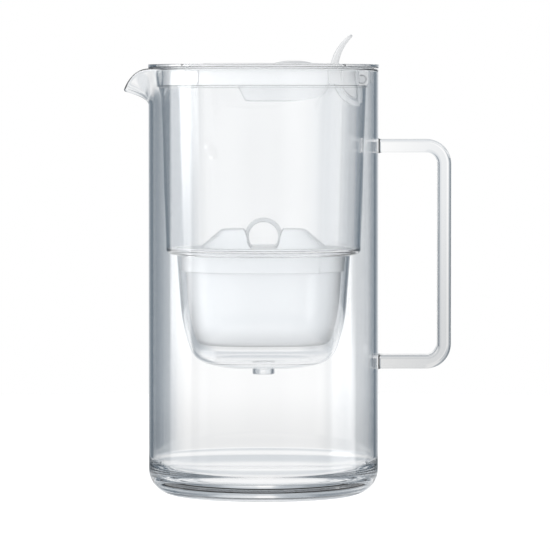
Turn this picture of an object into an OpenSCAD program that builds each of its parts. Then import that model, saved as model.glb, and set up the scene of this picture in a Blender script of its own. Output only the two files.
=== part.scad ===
// Water filter pitcher: a glass jug, a hanging funnel, a filter cartridge and a lid with a fill flap.
// Millimetres. +Z is up, the origin is on the jug's axis at its base, the spout points to -X.

/* [Jug] */
// Outside diameter of the glass
jug_d = 130; // [120:1:145]
// Height of the glass rim
jug_h = 240.8; // [230:0.2:260]
// Thickness of the glass wall
glass_wall = 2.2; // [1.8:0.1:3]
// Thickness of the glass base
base_t = 10.8; // [6:0.2:12]
// Radius of the rounded heel outside
heel_r = 14.7; // [10:0.1:18]
// Radius between floor and wall inside
inner_heel_r = 10.6; // [4:0.1:12]

/* [Spout] */
// How far the lip overhangs the wall
spout_reach = 13.1; // [8:0.1:18]
// How far the lip's tip dips below the rim
spout_drop = 11.7; // [6:0.1:13]
// Height of the glass that is drawn out into the lip
spout_h = 20.5; // [18:0.5:30]
// Half of the angle that the spout takes up on the rim
spout_half_angle = 28; // [20:1:36]

/* [Handle] */
// Distance from the glass wall to the outside of the grip
handle_reach = 41; // [34:0.5:50]
// Height over both arms
handle_h = 129.8; // [110:0.2:140]
// Drop from the rim to the top of the upper arm
handle_drop = 39.5; // [30:0.5:60]
// Thickness of the bar
handle_bar = 7.7; // [6:0.1:10]
// Width of the bar
handle_w = 18; // [14:0.5:24]
// Outside radius of the bends
handle_bend_r = 14; // [11:0.5:20]
// Rounding along the bar's edges
handle_edge_r = 2; // [1:0.1:2.9]

/* [Funnel] */
// Thickness of the funnel's mouldings
funnel_wall = 1.5; // [1.2:0.1:2]
// Thickness of the flange that lies on the glass rim
flange_t = 2.3; // [2:0.1:3]
// How far the flange stands out past the glass
flange_over = 0.3; // [0:0.1:1]
// Free way for the water between collar and glass
pour_gap = 3.8; // [3:0.1:6]
// Height of the collar below the flange
collar_h = 10.8; // [9:0.1:14]
// Step from the collar to the reservoir
collar_step = 0.9; // [0.6:0.1:1.4]
// Depth of the spigot that centres the flange in the glass
spigot_h = 1.6; // [1:0.1:3]
// Depth of the reservoir from the top of the flange
reservoir_depth = 104.9; // [95:0.1:115]
// How much the reservoir's radius shrinks on its way down
reservoir_taper = 3.1; // [1:0.1:6]
// Thickness of the reservoir's floor
floor_t = 2.4; // [1.8:0.1:3]
// Rounding of the reservoir's lower edge
floor_edge_r = 3; // [2.6:0.1:5]

/* [Cartridge well] */
// Width of the reservoir's floor left beside the ends of the well
well_shelf = 5.9; // [4:0.1:12]
// How much longer than wide the well is, on each side
well_stretch = 8; // [4:0.5:12]
// Depth of the well below the floor
well_depth = 64.6; // [58:0.2:72]
// Outside diameter of the drip nozzle
nozzle_d = 12.4; // [9:0.2:14]
// Length of the drip nozzle
nozzle_h = 3.4; // [2:0.1:6]
// Diameter of the drip hole
drip_d = 8; // [5:0.2:8.4]

/* [Cartridge] */
// Wall of the bucket and the cap
cartridge_wall = 1.4; // [1:0.1:1.8]
// Height of the collar at the top of the bucket
bucket_collar_h = 12.2; // [9:0.1:15]
// Step from the collar in to the bucket's side
bucket_step = 2.5; // [1.6:0.1:4]
// Depth of the bucket below its collar
bucket_depth = 41.6; // [38:0.2:46]
// Thickness of the cap's flange
cap_flange_t = 1.1; // [0.8:0.1:1.6]
// Height of the cap's humps over its flange
hump_h = 10.7; // [8:0.1:14]
// Width of the flange left outside the humps
hump_shelf = 13.1; // [10:0.1:16]
// Radius of the finger hole in the pull ring
ring_hole_r = 8.3; // [7:0.1:10]
// Width of the pull ring's band
ring_band = 2.5; // [2:0.1:4]
// Thickness of the pull ring
ring_t = 3.4; // [2.4:0.1:5]
// Number of inlet slots on each end of the cap
inlet_slots = 7; // [3:2:9]

/* [Lid] */
// Thickness of the lid's plate
lid_t = 1.4; // [1.2:0.1:1.6]
// Width of the lid's edge that lies on the flange
lid_seat = 3.5; // [2.4:0.1:3.6]
// Thickness of the skirt
skirt_t = 1.4; // [1:0.1:2]
// Width of a snap tongue along the skirt
tongue_w = 9.6; // [6:0.2:12]
// Angle of the snap tongues from the hinge
tongue_angle = 47.2; // [44:0.2:60]
// Width of the slits beside a tongue
slit_w = 0.8; // [0.5:0.1:1.2]
// Rounding of a tongue's lower corners
tongue_r = 1.8; // [0.6:0.1:2.4]

/* [Flap] */
// Diameter of the fill flap
flap_d = 68.8; // [60:0.2:72]
// Thickness of the flap
flap_t = 1.8; // [1.4:0.1:2.4]
// How far the flap stands above the lid
flap_proud = 0.6; // [0.2:0.1:1.2]
// Width of the ledge that the flap lies on
ledge_w = 2.1; // [1.6:0.1:3]
// Distance from the hinge axis to the middle of the flap
flap_reach = 55.2; // [54:0.1:57]
// Half width of the tongue at the rear of the flap
flap_tongue_w = 14.6; // [13:0.1:18]

/* [Hinge] */
// Distance from the collar's outside in to the hinge axis
hinge_inset = 3.8; // [3.8:0.1:6]
// Height of the lid's top over the hinge axis
hinge_drop = 8.4; // [7.6:0.1:9]
// Diameter of the hinge pin
pin_d = 4.3; // [3:0.1:5]
// Half width of a hinge lug
lug_r = 3.6; // [3.2:0.1:4]
// Thickness of a hinge lug
lug_t = 3; // [2:0.1:4]
// Inside radius of the gooseneck arm round the hinge axis
arm_r = 12.8; // [12.6:0.1:14]
// Thickness of the gooseneck arm
arm_t = 2.6; // [2:0.1:3.2]
// Width of the gooseneck arm
arm_w = 11.8; // [10:0.1:14]
// Thickness of each leg of the arm
leg_t = 2.5; // [2:0.1:3]

/* [Thumb tab] */
// Length of the thumb tab along its curve
tab_l = 19; // [14:0.1:24]
// Thickness at the foot
tab_foot_t = 4.2; // [3:0.1:5]
// Thickness at the tip
tab_tip_t = 1.8; // [1.2:0.1:2.4]
// Radius of the tab's curve
tab_curve_r = 27; // [22:0.5:40]
// Width of the tab
tab_w = 22; // [14:0.5:26]

/* [Indicator] */
// Length of the pod under the flap
pod_l = 52.1; // [48:0.1:54]
// Width of the pod
pod_w = 32; // [28:0.2:33]
// Depth of the pod below the flap
pod_h = 19.7; // [18.5:0.1:22]
// Wall of the pod
pod_wall = 1.4; // [1:0.1:1.8]
// Radius of the curve that lifts the rear of the pod's floor
pod_floor_r = 70; // [60:1:100]
// Distance from the hinge axis to the middle of the pod
pod_offset = 43.65; // [43.5:0.05:46]
// Diameter of the lens
lens_d = 21; // [19:0.2:22]
// Height of the lens over the flap
lens_h = 1.8; // [1.2:0.1:2.6]
// Diameter of the reset button
button_d = 10.8; // [8:0.2:12]
// Travel of the reset button
button_travel = 0.8; // [0.4:0.1:0.9]
// Diameter of the coin cell
cell_d = 20; // [16:0.5:20]
// Thickness of the coin cell
cell_t = 3.2; // [1.6:0.1:3.2]

/* [Clearances] */
// Gap where one piece lies on another that lifts off
seat_gap = 0.3; // [0.2:0.05:0.4]
// Gap round a piece that lifts out of another
lift_gap = 0.35; // [0.25:0.05:0.5]
// Radial clearance of the hinge pin in the knuckles
pin_gap = 0.05; // [0.02:0.01:0.1]

/* [Hidden] */
$fn = 96;
// Overlap that makes a cut run past a face
eps = 0.5;
// Longer than anything, for cuts that run right through
big = 400;

// Glass
jug_r = jug_d / 2;
jug_in_r = jug_r - glass_wall;
spout_z = jug_h - spout_h;
// The lip's profile bends out with this power of the height
lip_power = 2.1;
// The tip's dip gathers at the middle of the spout with this power
dip_power = 3.2;
// The drawn patch laps into the plain wall by this much and stays this far inside its faces
patch_lap = 0.3;
patch_inset = 0.05;
spout_steps = 28;
lip_steps = 8;

// Funnel
flange_z = jug_h + seat_gap;
flange_top = flange_z + flange_t;
flange_r = jug_r + flange_over;
spigot_r = jug_in_r - lift_gap;
collar_r = jug_in_r - pour_gap;
collar_in_r = collar_r - funnel_wall;
collar_z = flange_z - collar_h;
shoulder_t = 1;
lid_seat_z = flange_top - lid_t - seat_gap;
lid_seat_r = collar_in_r + lid_seat;
res_top_r = collar_r - collar_step;
res_low_r = res_top_r - reservoir_taper;
floor_top = flange_top - reservoir_depth;
floor_z = floor_top - floor_t;

// Draft of the moulded sides, in degrees
draft = 4;
// Well: arcs of its side from the bottom up, each [radius, start angle, end angle] of the normal
well_floor_r = 60;
well_bend_r = 13.4;
well_side_r = 99;
well_arcs = [[well_floor_r, 0, 18], [well_bend_r, 18, 70], [well_side_r, 70, 90 - draft]];
well_half_l = res_low_r - well_shelf;
well_r = well_half_l - well_stretch;
well_z = floor_z - well_depth;

// Cartridge, seated by the cap's flange on the reservoir's floor
bucket_bend_r = 5.5;
bucket_side_r = 100;
bucket_arcs = [[bucket_bend_r, 0, 72], [bucket_side_r, 72, 90 - draft]];
cap_z = floor_top + seat_gap;
bucket_collar_z = cap_z - bucket_collar_h;
well_in_low_r = well_r - funnel_wall - (floor_z - bucket_collar_z) * tan(draft);
bucket_collar_r = well_in_low_r - lift_gap;
bucket_r = bucket_collar_r - bucket_step;
bucket_z = bucket_collar_z - bucket_depth;
// The cap's flange laps over the edge of the well by this much
cap_lap = 1.8;
cap_flange_r = well_r - funnel_wall + cap_lap;
cap_top = cap_z + cap_flange_t;
cap_plug_r = bucket_collar_r - cartridge_wall;
cap_plug_h = 2.2;
plug_gap = 0.05;
screen_t = 0.6;
hump_r = cap_flange_r - hump_shelf;
hump_slope = 40;
hump_round = 6;
// Height of the ring's middle over the cap's flange
ring_rise = 6.1;
ring_z = cap_top + ring_rise;
// The valley is this much wider than the ring's hole, and opens out by the flare
valley_more = 1;
valley_r = ring_hole_r + valley_more;
valley_flare = 2;
// Key recess at one end of the collar
key_depth = 0.8;
key_h = 9.3;
key_l = 15.5;
foot_x = 21.2;
foot_d = 3.2;
foot_h = 1.3;
// Outlet slots in the bucket's floor
outlet_pitch = 6;
outlet_w = 1.6;
outlet_l = 18;
// Inlet slots in the ends of the cap
inlet_pitch = 3.4;
inlet_w = 1.2;
inlet_l = 9;
inlet_rise = 1;
media_gap = 0.2;
// The outlet screen stays this far inside the bucket's rim
screen_inset = 12;
screen_r = bucket_r - screen_inset;
inlet_inset = 3;

// Lid
lid_z = flange_top - lid_t;
lid_r = lid_seat_r - lift_gap;
skirt_r = collar_in_r - lift_gap;
skirt_z = collar_z + shoulder_t + seat_gap;
// The tongues hang from this much of the skirt
tongue_root = 2.6;
tongue_h = lid_z - skirt_z - tongue_root;
// A tongue ends this far above the skirt's lower edge
tongue_lift = 0.6;
// Notches in the flange above the tongues, for a fingernail under the lid
notch_w = 6.1;
notch_depth = 2.2;
// Gap beside the hinge lugs where they sink into the funnel, and the locating tab behind them
lug_gap = 0.8;
tab_back_t = 1.9;
tab_back_l = 8.3;

// Hinge
hinge_x = collar_r - hinge_inset;
hinge_z = flange_top - hinge_drop;
pin_r = pin_d / 2;
knuckle_r = 3.4;
lug_drop = 0.7;
lug_y = arm_w / 2 + seat_gap;
// The lid's plate ends behind the gooseneck arm
slot_gap = 0.5;
slot_rear_x = hinge_x - sqrt(pow(arm_r - slot_gap, 2) - pow(hinge_drop, 2));
// The skirt stops here, so that the hinge is free
skirt_clear = 12;
skirt_rear_x = hinge_x - skirt_clear;
guide_gap = 1.5;
guide_r = arm_r - guide_gap;
guide_t = arm_w - 2 * leg_t - 2 * seat_gap;
// Material of the quadrant kept off the pin
guide_pin_gap = 0.5;
// The arm runs round the hinge axis between these angles
arm_from = 146;
arm_to = 266;
// Legs: width, and how far their rear face lies behind the axis
leg_w = 2.4;
leg_rear = 0.3;

// Flap
flap_r = flap_d / 2;
flap_x = hinge_x - flap_reach;
flap_top = flange_top + flap_proud;
flap_z = flap_top - flap_t;
ledge_r = flap_r + lift_gap - ledge_w;
ledge_t = 1.5;
ledge_z = flap_z - seat_gap;
// The tongue's lower rear corner passes the lid's edge on the middle of the arm
flap_tongue_x = hinge_x - sqrt(pow(arm_r + arm_t / 2, 2) - pow(flap_z - hinge_z, 2));
slot_w = flap_tongue_w + lift_gap;
// The thumb tab rises this far in front of the hinge axis and leans back from this angle
tab_offset = 14.9;
tab_x = hinge_x - tab_offset;
tab_lean = 11;
fit_gap = 0.05;
foot_plate_t = 1.8;

// Indicator
pod_x = hinge_x - pod_offset;
pod_r = pod_w / 2;
pod_s = pod_l / 2 - pod_r;
gasket_t = 1;
pod_top = flap_z - gasket_t;
pod_z = flap_z - pod_h;
// The pod's side is upright above this height and drawn in below it
pod_draw_h = 8.2;
pod_bend_z = pod_z + pod_draw_h;
pod_bend_r = 2.6;
pod_arcs = [[pod_bend_r, 0, 63]];
pod_floor_bend = 0.5;
pod_floor_bend_x = pod_x + pod_floor_bend;
lens_offset = 5.25;
lens_x = pod_x + lens_offset;
lens_r = lens_d / 2;
lens_edge = 0.3;
lens_ball_r = (pow(lens_r, 2) + pow(lens_h - lens_edge, 2)) / (2 * (lens_h - lens_edge));
lens_ball_z = flap_top + lens_h - lens_ball_r;
lens_lap = 1.2;
lens_spigot_r = lens_r - lens_lap;
lens_spigot_t = 1.7;
lens_pocket_r = lens_spigot_r - lens_spigot_t;
button_r = button_d / 2;
button_flange_r = lens_pocket_r - seat_gap;
button_flange_t = 0.8;
board_t = 1.2;
board_depth = 5.2;
board_z = pod_top - board_depth;
board_gap = 0.6;
board_r = pod_r - pod_wall - board_gap;
board_top = board_z + board_t;
// Places of the posts from the middle of the pod
post_front = 6;
post_rear = 7;
post_x = [post_front - pod_l / 2, pod_l / 2 - post_rear];
post_y = 5;
post_d = 3;
cell_offset = 7.5;
cell_x = pod_x - cell_offset;
// Gap between the cell and the board, and the cell and the sides of its clip
cell_gap = 0.2;
cell_z = board_z - cell_gap - cell_t;
cell_step_h = 0.9;
cell_step_w = 1.2;
clip_t = 0.4;
clip_w = 7;
led_h = 0.8;
led_l = 3;
led_w = 1.6;
led_gap = 0.2;
// Switch: body and plunger
switch_w = 6;
switch_h = 1.8;
plunger_d = 3.2;
plunger_h = 0.9;
stem_r = 2;
// What is left between stem and plunger when the button is down
stem_gap = 0.2;

// Points of an arc about a centre, with n steps
function arc(centre, r, from, to, n) =
    [for (i = [0:n]) let (a = from + (to - from) * i / n) centre + r * [cos(a), sin(a)]];

function reverse(list) = [for (i = [len(list) - 1:-1:0]) list[i]];

// Side of a moulded cup, from the middle of its bottom up, as a chain of tangent arcs and a drafted line.
// Each arc is [radius, start, end], with the outward normal's angle from straight down.
function arc_run(a) = a[0] * (sin(a[2]) - sin(a[1]));
function arc_rise(a) = a[0] * (cos(a[1]) - cos(a[2]));
function sum(list, i = 0) = i >= len(list) ? 0 : list[i] + sum(list, i + 1);
function side_rise(arcs) = sum([for (a = arcs) arc_rise(a)]);
function side_flat(arcs, r, h) =
    r - sum([for (a = arcs) arc_run(a)]) - (h - side_rise(arcs)) / tan(arcs[len(arcs) - 1][2]);
function arc_start(arcs, k, flat, z) =
    k == 0 ? [flat, z] : arc_start(arcs, k - 1, flat, z) + [arc_run(arcs[k - 1]), arc_rise(arcs[k - 1])];
function normal(a) = [sin(a), -cos(a)];
function cup_side(z, r, h, arcs, inset) =
    let (
        flat = side_flat(arcs, r, h),
        last = arcs[len(arcs) - 1],
        top_r = r - inset / sin(last[2])
    )
    concat(
        [[0, z + inset]],
        [for (k = [0:len(arcs) - 1])
            let (centre = arc_start(arcs, k, flat, z) - arcs[k][0] * normal(arcs[k][1]))
            each [for (i = [(k == 0 ? 0 : 1):6])
                centre + (arcs[k][0] - inset) * normal(arcs[k][1] + (arcs[k][2] - arcs[k][1]) * i / 6)]],
        [[top_r, z + h]]
    );

// Sweeps a half profile (radius, height) round a long oval: two half turns and a straight run between them
module oval(stretch) {
    for (side = [0, 1])
        mirror([side, 0, 0])
            translate([stretch, 0, 0])
                rotate([0, 0, -90])
                    rotate_extrude(angle = 180) children();
    translate([-stretch, 0, 0])
        rotate([90, 0, 90])
            linear_extrude(2 * stretch) {
                children();
                mirror([1, 0]) children();
            }
}

// Flat oval plate
module oval_plate(stretch, r, z, t) {
    oval(stretch) translate([0, z]) square([r, t]);
}

// Half profile of a pot with a rounded lower edge
module pot_profile(r, corner, h) {
    square([r - corner, h]);
    translate([0, corner]) square([r, h - corner]);
    translate([r - corner, corner]) circle(corner);
}

module rounded_bar(w, t, r) {
    square([w - 2 * r, t], center = true);
    square([w, t - 2 * r], center = true);
    for (x = [-1, 1], y = [-1, 1])
        translate([x * (w / 2 - r), y * (t / 2 - r)]) circle(r);
}

// Lays a drawing of the XZ plane across the width of the part, centred on Y
module across(w) {
    rotate([90, 0, 0]) linear_extrude(w, center = true) children();
}

// Spout: w is 1 at the middle of the lip and 0 where the plain wall begins
function spout_share(a) = abs(a) < spout_half_angle ? pow(cos(90 * a / spout_half_angle), 2) : 0;
function lip_rise(a) = spout_h - spout_drop * pow(spout_share(a), dip_power) - glass_wall / 2;
function lip_slope(a, t) =
    [spout_reach * spout_share(a) * lip_power * pow(t, lip_power - 1), lip_rise(a)];
function lip_point(a, t, depth) =
    let (slope = lip_slope(a, t), across_wall = [-slope[1], slope[0]] / norm(slope))
    [jug_r + spout_reach * spout_share(a) * pow(t, lip_power), spout_z + lip_rise(a) * t]
        + depth * across_wall;
function lip_cap(a, turn) =
    let (
        along = lip_slope(a, 1) / norm(lip_slope(a, 1)),
        across_wall = [-along[1], along[0]],
        round_r = glass_wall / 2 - patch_inset
    )
    lip_point(a, 1, glass_wall / 2) + round_r * (sin(turn) * along - cos(turn) * across_wall);
// One closed section of the lip at an angle: up the outside, over the round rim, down the inside
function lip_section(a) = concat(
    [lip_point(a, 0, patch_inset) - [0, patch_lap]],
    [for (i = [1:lip_steps]) lip_point(a, i / lip_steps, patch_inset)],
    [for (turn = [45, 90, 135]) lip_cap(a, turn)],
    [for (i = [lip_steps:-1:1]) lip_point(a, i / lip_steps, glass_wall - patch_inset)],
    [lip_point(a, 0, glass_wall - patch_inset) - [0, patch_lap]]
);

module lip_patch() {
    end_a = spout_half_angle + patch_lap / jug_r * 180 / PI;
    sections = [for (i = [0:spout_steps]) let (a = -end_a + 2 * end_a * i / spout_steps)
        [for (p = lip_section(a)) [-p[0] * cos(a), -p[0] * sin(a), p[1]]]];
    m = len(sections[0]);
    points = [for (s = sections) each s];
    sides = [for (i = [0:spout_steps - 1], j = [0:m - 1])
        let (k = (j + 1) % m, here = i * m, next = (i + 1) * m)
        each [[here + j, here + k, next + j], [here + k, next + k, next + j]]];
    first_end = [[for (j = [m - 1:-1:0]) j]];
    last_end = [[for (j = [0:m - 1]) spout_steps * m + j]];
    polyhedron(points, concat(sides, first_end, last_end));
}

module jug_glass() {
    color("lightsteelblue", 0.4) {
        rotate_extrude() difference() {
            pot_profile(jug_r, heel_r, spout_z);
            translate([0, base_t]) pot_profile(jug_in_r, inner_heel_r, jug_h);
        }
        rotate([0, 0, spout_half_angle - 180])
            rotate_extrude(angle = 360 - 2 * spout_half_angle) {
                translate([jug_in_r, spout_z]) square([glass_wall, spout_h - glass_wall / 2]);
                translate([jug_r - glass_wall / 2, jug_h - glass_wall / 2]) circle(glass_wall / 2);
            }
        lip_patch();
    }
}

module handle() {
    top_z = jug_h - handle_drop - handle_bar / 2;
    low_z = top_z - handle_h + handle_bar;
    grip_x = jug_r + handle_reach - handle_bar / 2;
    bend_r = handle_bend_r - handle_bar / 2;
    root_x = jug_in_r - handle_bar;
    color("lightsteelblue", 0.4) difference() {
        union() {
            for (z = [low_z, top_z])
                translate([root_x, 0, z]) rotate([90, 0, 90])
                    linear_extrude(grip_x - bend_r - root_x)
                        rounded_bar(handle_w, handle_bar, handle_edge_r);
            translate([grip_x, 0, low_z + bend_r])
                linear_extrude(top_z - low_z - 2 * bend_r)
                    rounded_bar(handle_bar, handle_w, handle_edge_r);
            for (bend = [[low_z + bend_r, -90], [top_z - bend_r, 0]])
                translate([grip_x - bend_r, 0, bend[0]])
                    rotate([90, 0, 0]) rotate([0, 0, bend[1]])
                        rotate_extrude(angle = 90)
                            translate([bend_r, 0]) rounded_bar(handle_bar, handle_w, handle_edge_r);
        }
        cylinder(r = jug_r, h = jug_h);
    }
}

// Half profile of the flange, collar and reservoir
module funnel_profile() {
    low_edge = arc([res_low_r - floor_edge_r, floor_z + floor_edge_r], floor_edge_r, -90, 0, 6);
    inner_r = floor_edge_r - funnel_wall;
    inner_edge = arc([res_low_r - floor_edge_r, floor_top + inner_r], inner_r, 0, -90, 6);
    polygon(concat(
        [[0, floor_z]],
        low_edge,
        [
            [res_top_r, collar_z], [collar_r, collar_z],
            [collar_r, flange_z - spigot_h], [spigot_r, flange_z - spigot_h],
            [spigot_r, flange_z], [flange_r, flange_z], [flange_r, flange_top],
            [lid_seat_r, flange_top], [lid_seat_r, lid_seat_z], [collar_in_r, lid_seat_z],
            [collar_in_r, collar_z + shoulder_t], [res_top_r - funnel_wall, collar_z + shoulder_t]
        ],
        inner_edge,
        [[0, floor_top]]
    ));
}

module well_shell() {
    outer = cup_side(well_z, well_r, well_depth, well_arcs, 0);
    inner = cup_side(well_z, well_r, well_depth, well_arcs, funnel_wall);
    oval(well_stretch) polygon(concat(outer, reverse(inner)));
}

module funnel() {
    well_in_r = well_r - funnel_wall;
    lug_notch_w = 2 * (lug_y + lug_t + lug_gap);
    color("aliceblue", 0.4) {
        difference() {
            union() {
                difference() {
                    rotate_extrude() funnel_profile();
                    oval_plate(well_stretch, well_in_r, floor_z - eps, floor_t + 2 * eps);
                }
                well_shell();
                translate([0, 0, well_z - nozzle_h]) cylinder(d = nozzle_d, h = nozzle_h + funnel_wall / 2);
            }
            translate([0, 0, well_z - nozzle_h - eps]) cylinder(d = drip_d, h = nozzle_h + funnel_wall + 2 * eps);
            // Room for the hinge lugs of the lid
            translate([hinge_x - 2 * lug_r, -lug_notch_w / 2, hinge_z - lug_r - lug_drop - seat_gap])
                cube([3 * lug_r + lug_gap, lug_notch_w, big]);
            for (a = [tongue_angle, 180 - tongue_angle, 180 + tongue_angle, -tongue_angle])
                rotate([0, 0, a])
                    translate([lid_seat_r - eps, -notch_w / 2, lid_seat_z])
                        cube([notch_depth + eps, notch_w, flange_t]);
        }
        // Locating tab behind the hinge
        intersection() {
            translate([spigot_r - tab_back_t, -tab_back_l / 2, flange_z - tab_back_l])
                cube([tab_back_t + eps, tab_back_l, tab_back_l]);
            cylinder(r = spigot_r, h = big);
        }
    }
}

// One hinge lug, drawn in the XZ plane about the hinge axis
module lug_outline() {
    translate([-lug_r, -lug_drop]) square([2 * lug_r, lid_z - hinge_z + lug_drop]);
    translate([0, -lug_drop]) circle(lug_r);
}

// Guide quadrant inside the gooseneck arm
module guide_outline() {
    intersection() {
        circle(guide_r);
        translate([-guide_r, -guide_r])
            square([guide_r - pin_r - guide_pin_gap, guide_r + lid_z - hinge_z]);
    }
}

// What is cut away round one tongue, drawn flat: x along the skirt, y up from its lower edge
module tongue_cut() {
    half = (tongue_w - slit_w) / 2;
    difference() {
        translate([-half - slit_w, -eps]) square([2 * (half + slit_w), tongue_h + eps]);
        translate([-half, tongue_lift + tongue_r]) square([2 * half, tongue_h]);
        translate([tongue_r - half, tongue_lift]) square([2 * (half - tongue_r), tongue_h]);
        for (s = [-1, 1])
            translate([s * (half - tongue_r), tongue_lift + tongue_r]) circle(tongue_r);
    }
}

module lid_cover() {
    color("white", 0.8) difference() {
        union() {
            difference() {
                translate([0, 0, lid_z]) cylinder(r = lid_r, h = lid_t);
                translate([flap_x, 0, lid_z - eps]) cylinder(r = flap_r + lift_gap, h = lid_t + 2 * eps);
            }
            translate([flap_x, 0, 0]) rotate_extrude() polygon([
                [ledge_r, ledge_z - ledge_t],
                [flap_r + lift_gap + ledge_w, ledge_z - ledge_t],
                [flap_r + lift_gap + ledge_w, lid_z + lid_t / 2],
                [flap_r + lift_gap, lid_z + lid_t / 2],
                [flap_r + lift_gap, ledge_z],
                [ledge_r, ledge_z]
            ]);
            difference() {
                translate([0, 0, skirt_z]) cylinder(r = skirt_r, h = lid_z - skirt_z);
                translate([0, 0, skirt_z - eps]) cylinder(r = skirt_r - skirt_t, h = lid_z - skirt_z + eps);
                translate([skirt_rear_x, -big / 2, 0]) cube([big, big, lid_z]);
                for (a = [tongue_angle, 180 - tongue_angle, 180 + tongue_angle, -tongue_angle])
                    rotate([0, 0, a])
                        translate([skirt_r - 2 * skirt_t, 0, skirt_z])
                            rotate([90, 0, 90]) linear_extrude(3 * skirt_t) tongue_cut();
            }
            translate([hinge_x, 0, hinge_z]) {
                for (s = [-1, 1])
                    translate([0, s * (lug_y + lug_t / 2), 0]) across(lug_t) lug_outline();
                across(guide_t) guide_outline();
            }
        }
        // Way through for the flap's tongue and the gooseneck arm
        translate([flap_x, -slot_w, ledge_z - ledge_t - eps])
            cube([slot_rear_x - flap_x, 2 * slot_w, big]);
        translate([hinge_x, 0, hinge_z]) across(big) circle(pin_r);
    }
}

module hinge_pin() {
    color("white") translate([hinge_x, 0, hinge_z])
        rotate([90, 0, 0]) cylinder(r = pin_r, h = 2 * (lug_y + lug_t), center = true);
}

module flap_panel() {
    color("white") difference() {
        union() {
            translate([flap_x, 0, flap_z]) cylinder(r = flap_r, h = flap_t);
            translate([flap_x, -flap_tongue_w, flap_z])
                cube([flap_tongue_x - flap_x, 2 * flap_tongue_w, flap_t]);
        }
        translate([lens_x, 0, flap_z - eps]) cylinder(r = lens_spigot_r + fit_gap, h = flap_t + 2 * eps);
        // Slot that the thumb tab comes up through
        translate([tab_x, 0, flap_z + flap_t / 2])
            cube([tab_foot_t + 2 * fit_gap, tab_w + 2 * fit_gap, 2 * flap_t], center = true);
    }
}

// Thumb tab: a blade rooted in the foot plate, on an arc that leans back and thins towards its tip
module tab_outline() {
    turn = tab_l / tab_curve_r * 180 / PI;
    centre = [tab_x + tab_curve_r * cos(tab_lean), flap_top - tab_curve_r * sin(tab_lean)];
    steps = 10;
    function blade(i, side) =
        let (share = i / steps, half = (tab_foot_t + (tab_tip_t - tab_foot_t) * share) / 2)
        centre + (tab_curve_r + side * half)
            * [-cos(tab_lean + turn * share), sin(tab_lean + turn * share)];
    polygon(concat(
        [[tab_x - tab_foot_t / 2, flap_z - foot_plate_t / 2]],
        [for (i = [0:steps]) blade(i, 1)],
        [for (i = [steps:-1:0]) blade(i, -1)],
        [[tab_x + tab_foot_t / 2, flap_z - foot_plate_t / 2]]
    ));
    tip = (blade(steps, 1) + blade(steps, -1)) / 2;
    translate(tip) circle(tab_tip_t / 2);
}

// Gooseneck arm round the hinge axis, level on top where the flap lies on it
module arm_outline() {
    reach = 2 * (arm_r + arm_t);
    intersection() {
        translate([-reach, -reach]) square([2 * reach, reach + flap_z - hinge_z]);
        difference() {
            circle(arm_r + arm_t);
            circle(arm_r);
        }
        polygon([[0, 0], for (i = [0:4]) let (a = arm_from + (arm_to - arm_from) * i / 4) reach * [cos(a), sin(a)]]);
    }
}

// Leg from the arm's end up to the knuckle on the pin
module leg_outline() {
    translate([leg_rear - leg_w, -arm_r - arm_t / 2]) square([leg_w, arm_r + arm_t / 2]);
    circle(knuckle_r);
}

module thumb_lever() {
    color("white") difference() {
        union() {
            across(tab_w) tab_outline();
            difference() {
                translate([tab_x - tab_foot_t / 2, -tab_w / 2, flap_z - foot_plate_t])
                    cube([flap_tongue_x - tab_x + tab_foot_t / 2, tab_w, foot_plate_t]);
                translate([hinge_x, 0, hinge_z]) across(big) circle(arm_r);
            }
            translate([hinge_x, 0, hinge_z]) {
                across(arm_w) arm_outline();
                for (s = [-1, 1])
                    translate([0, s * (arm_w - leg_t) / 2, 0]) across(leg_t) leg_outline();
            }
        }
        translate([hinge_x, 0, hinge_z]) across(big) circle(pin_r + pin_gap);
    }
}

// Drawing of the pod from the side: level floor in front, lifted on a long curve at the rear
module pod_side(inset) {
    left = pod_x - pod_l;
    translate([left, pod_z + inset]) square([pod_floor_bend_x - left, pod_h]);
    intersection() {
        translate([pod_floor_bend_x, pod_z + pod_floor_r]) circle(pod_floor_r - inset);
        translate([pod_floor_bend_x, pod_z]) square([pod_l, pod_h]);
    }
}

module pod_solid(inset, top_z) {
    intersection() {
        translate([pod_x, 0, 0]) oval(pod_s)
            polygon(concat(
                cup_side(pod_z, pod_r, pod_bend_z - pod_z, pod_arcs, inset),
                [[pod_r - inset, pod_bend_z + inset], [pod_r - inset, top_z], [0, top_z]]
            ));
        across(big) pod_side(inset);
    }
}

module pod_shell() {
    color("white") {
        difference() {
            pod_solid(0, pod_top);
            pod_solid(pod_wall, pod_top + eps);
        }
        // Posts that carry the board
        intersection() {
            pod_solid(pod_wall / 2, pod_top);
            for (x = post_x, y = [-post_y, post_y])
                translate([pod_x + x, y, pod_z]) cylinder(d = post_d, h = board_z - pod_z);
        }
    }
}

module pod_gasket() {
    color("gray") translate([pod_x, 0, 0]) oval(pod_s)
        translate([pod_r - pod_wall, pod_top]) square([pod_wall, gasket_t]);
}

module indicator_lens() {
    color("aliceblue", 0.6) translate([lens_x, 0, 0]) rotate_extrude() {
        intersection() {
            translate([0, lens_ball_z]) circle(lens_ball_r, $fn = 200);
            translate([button_r + seat_gap, flap_top])
                square([lens_r - button_r - seat_gap, lens_h]);
        }
        translate([lens_pocket_r, flap_z]) square([lens_spigot_t, flap_t]);
    }
}

module reset_button() {
    flange_low = flap_top - seat_gap - button_flange_t;
    stem_low = board_top + switch_h + plunger_h + button_travel + stem_gap;
    color("white") translate([lens_x, 0, 0]) rotate_extrude() {
        intersection() {
            translate([0, lens_ball_z]) circle(lens_ball_r, $fn = 200);
            translate([0, flange_low]) square([button_r, lens_h + 2]);
        }
        translate([0, flange_low]) square([button_flange_r, button_flange_t]);
        translate([0, stem_low]) square([stem_r, flange_low - stem_low + eps]);
    }
}

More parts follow.
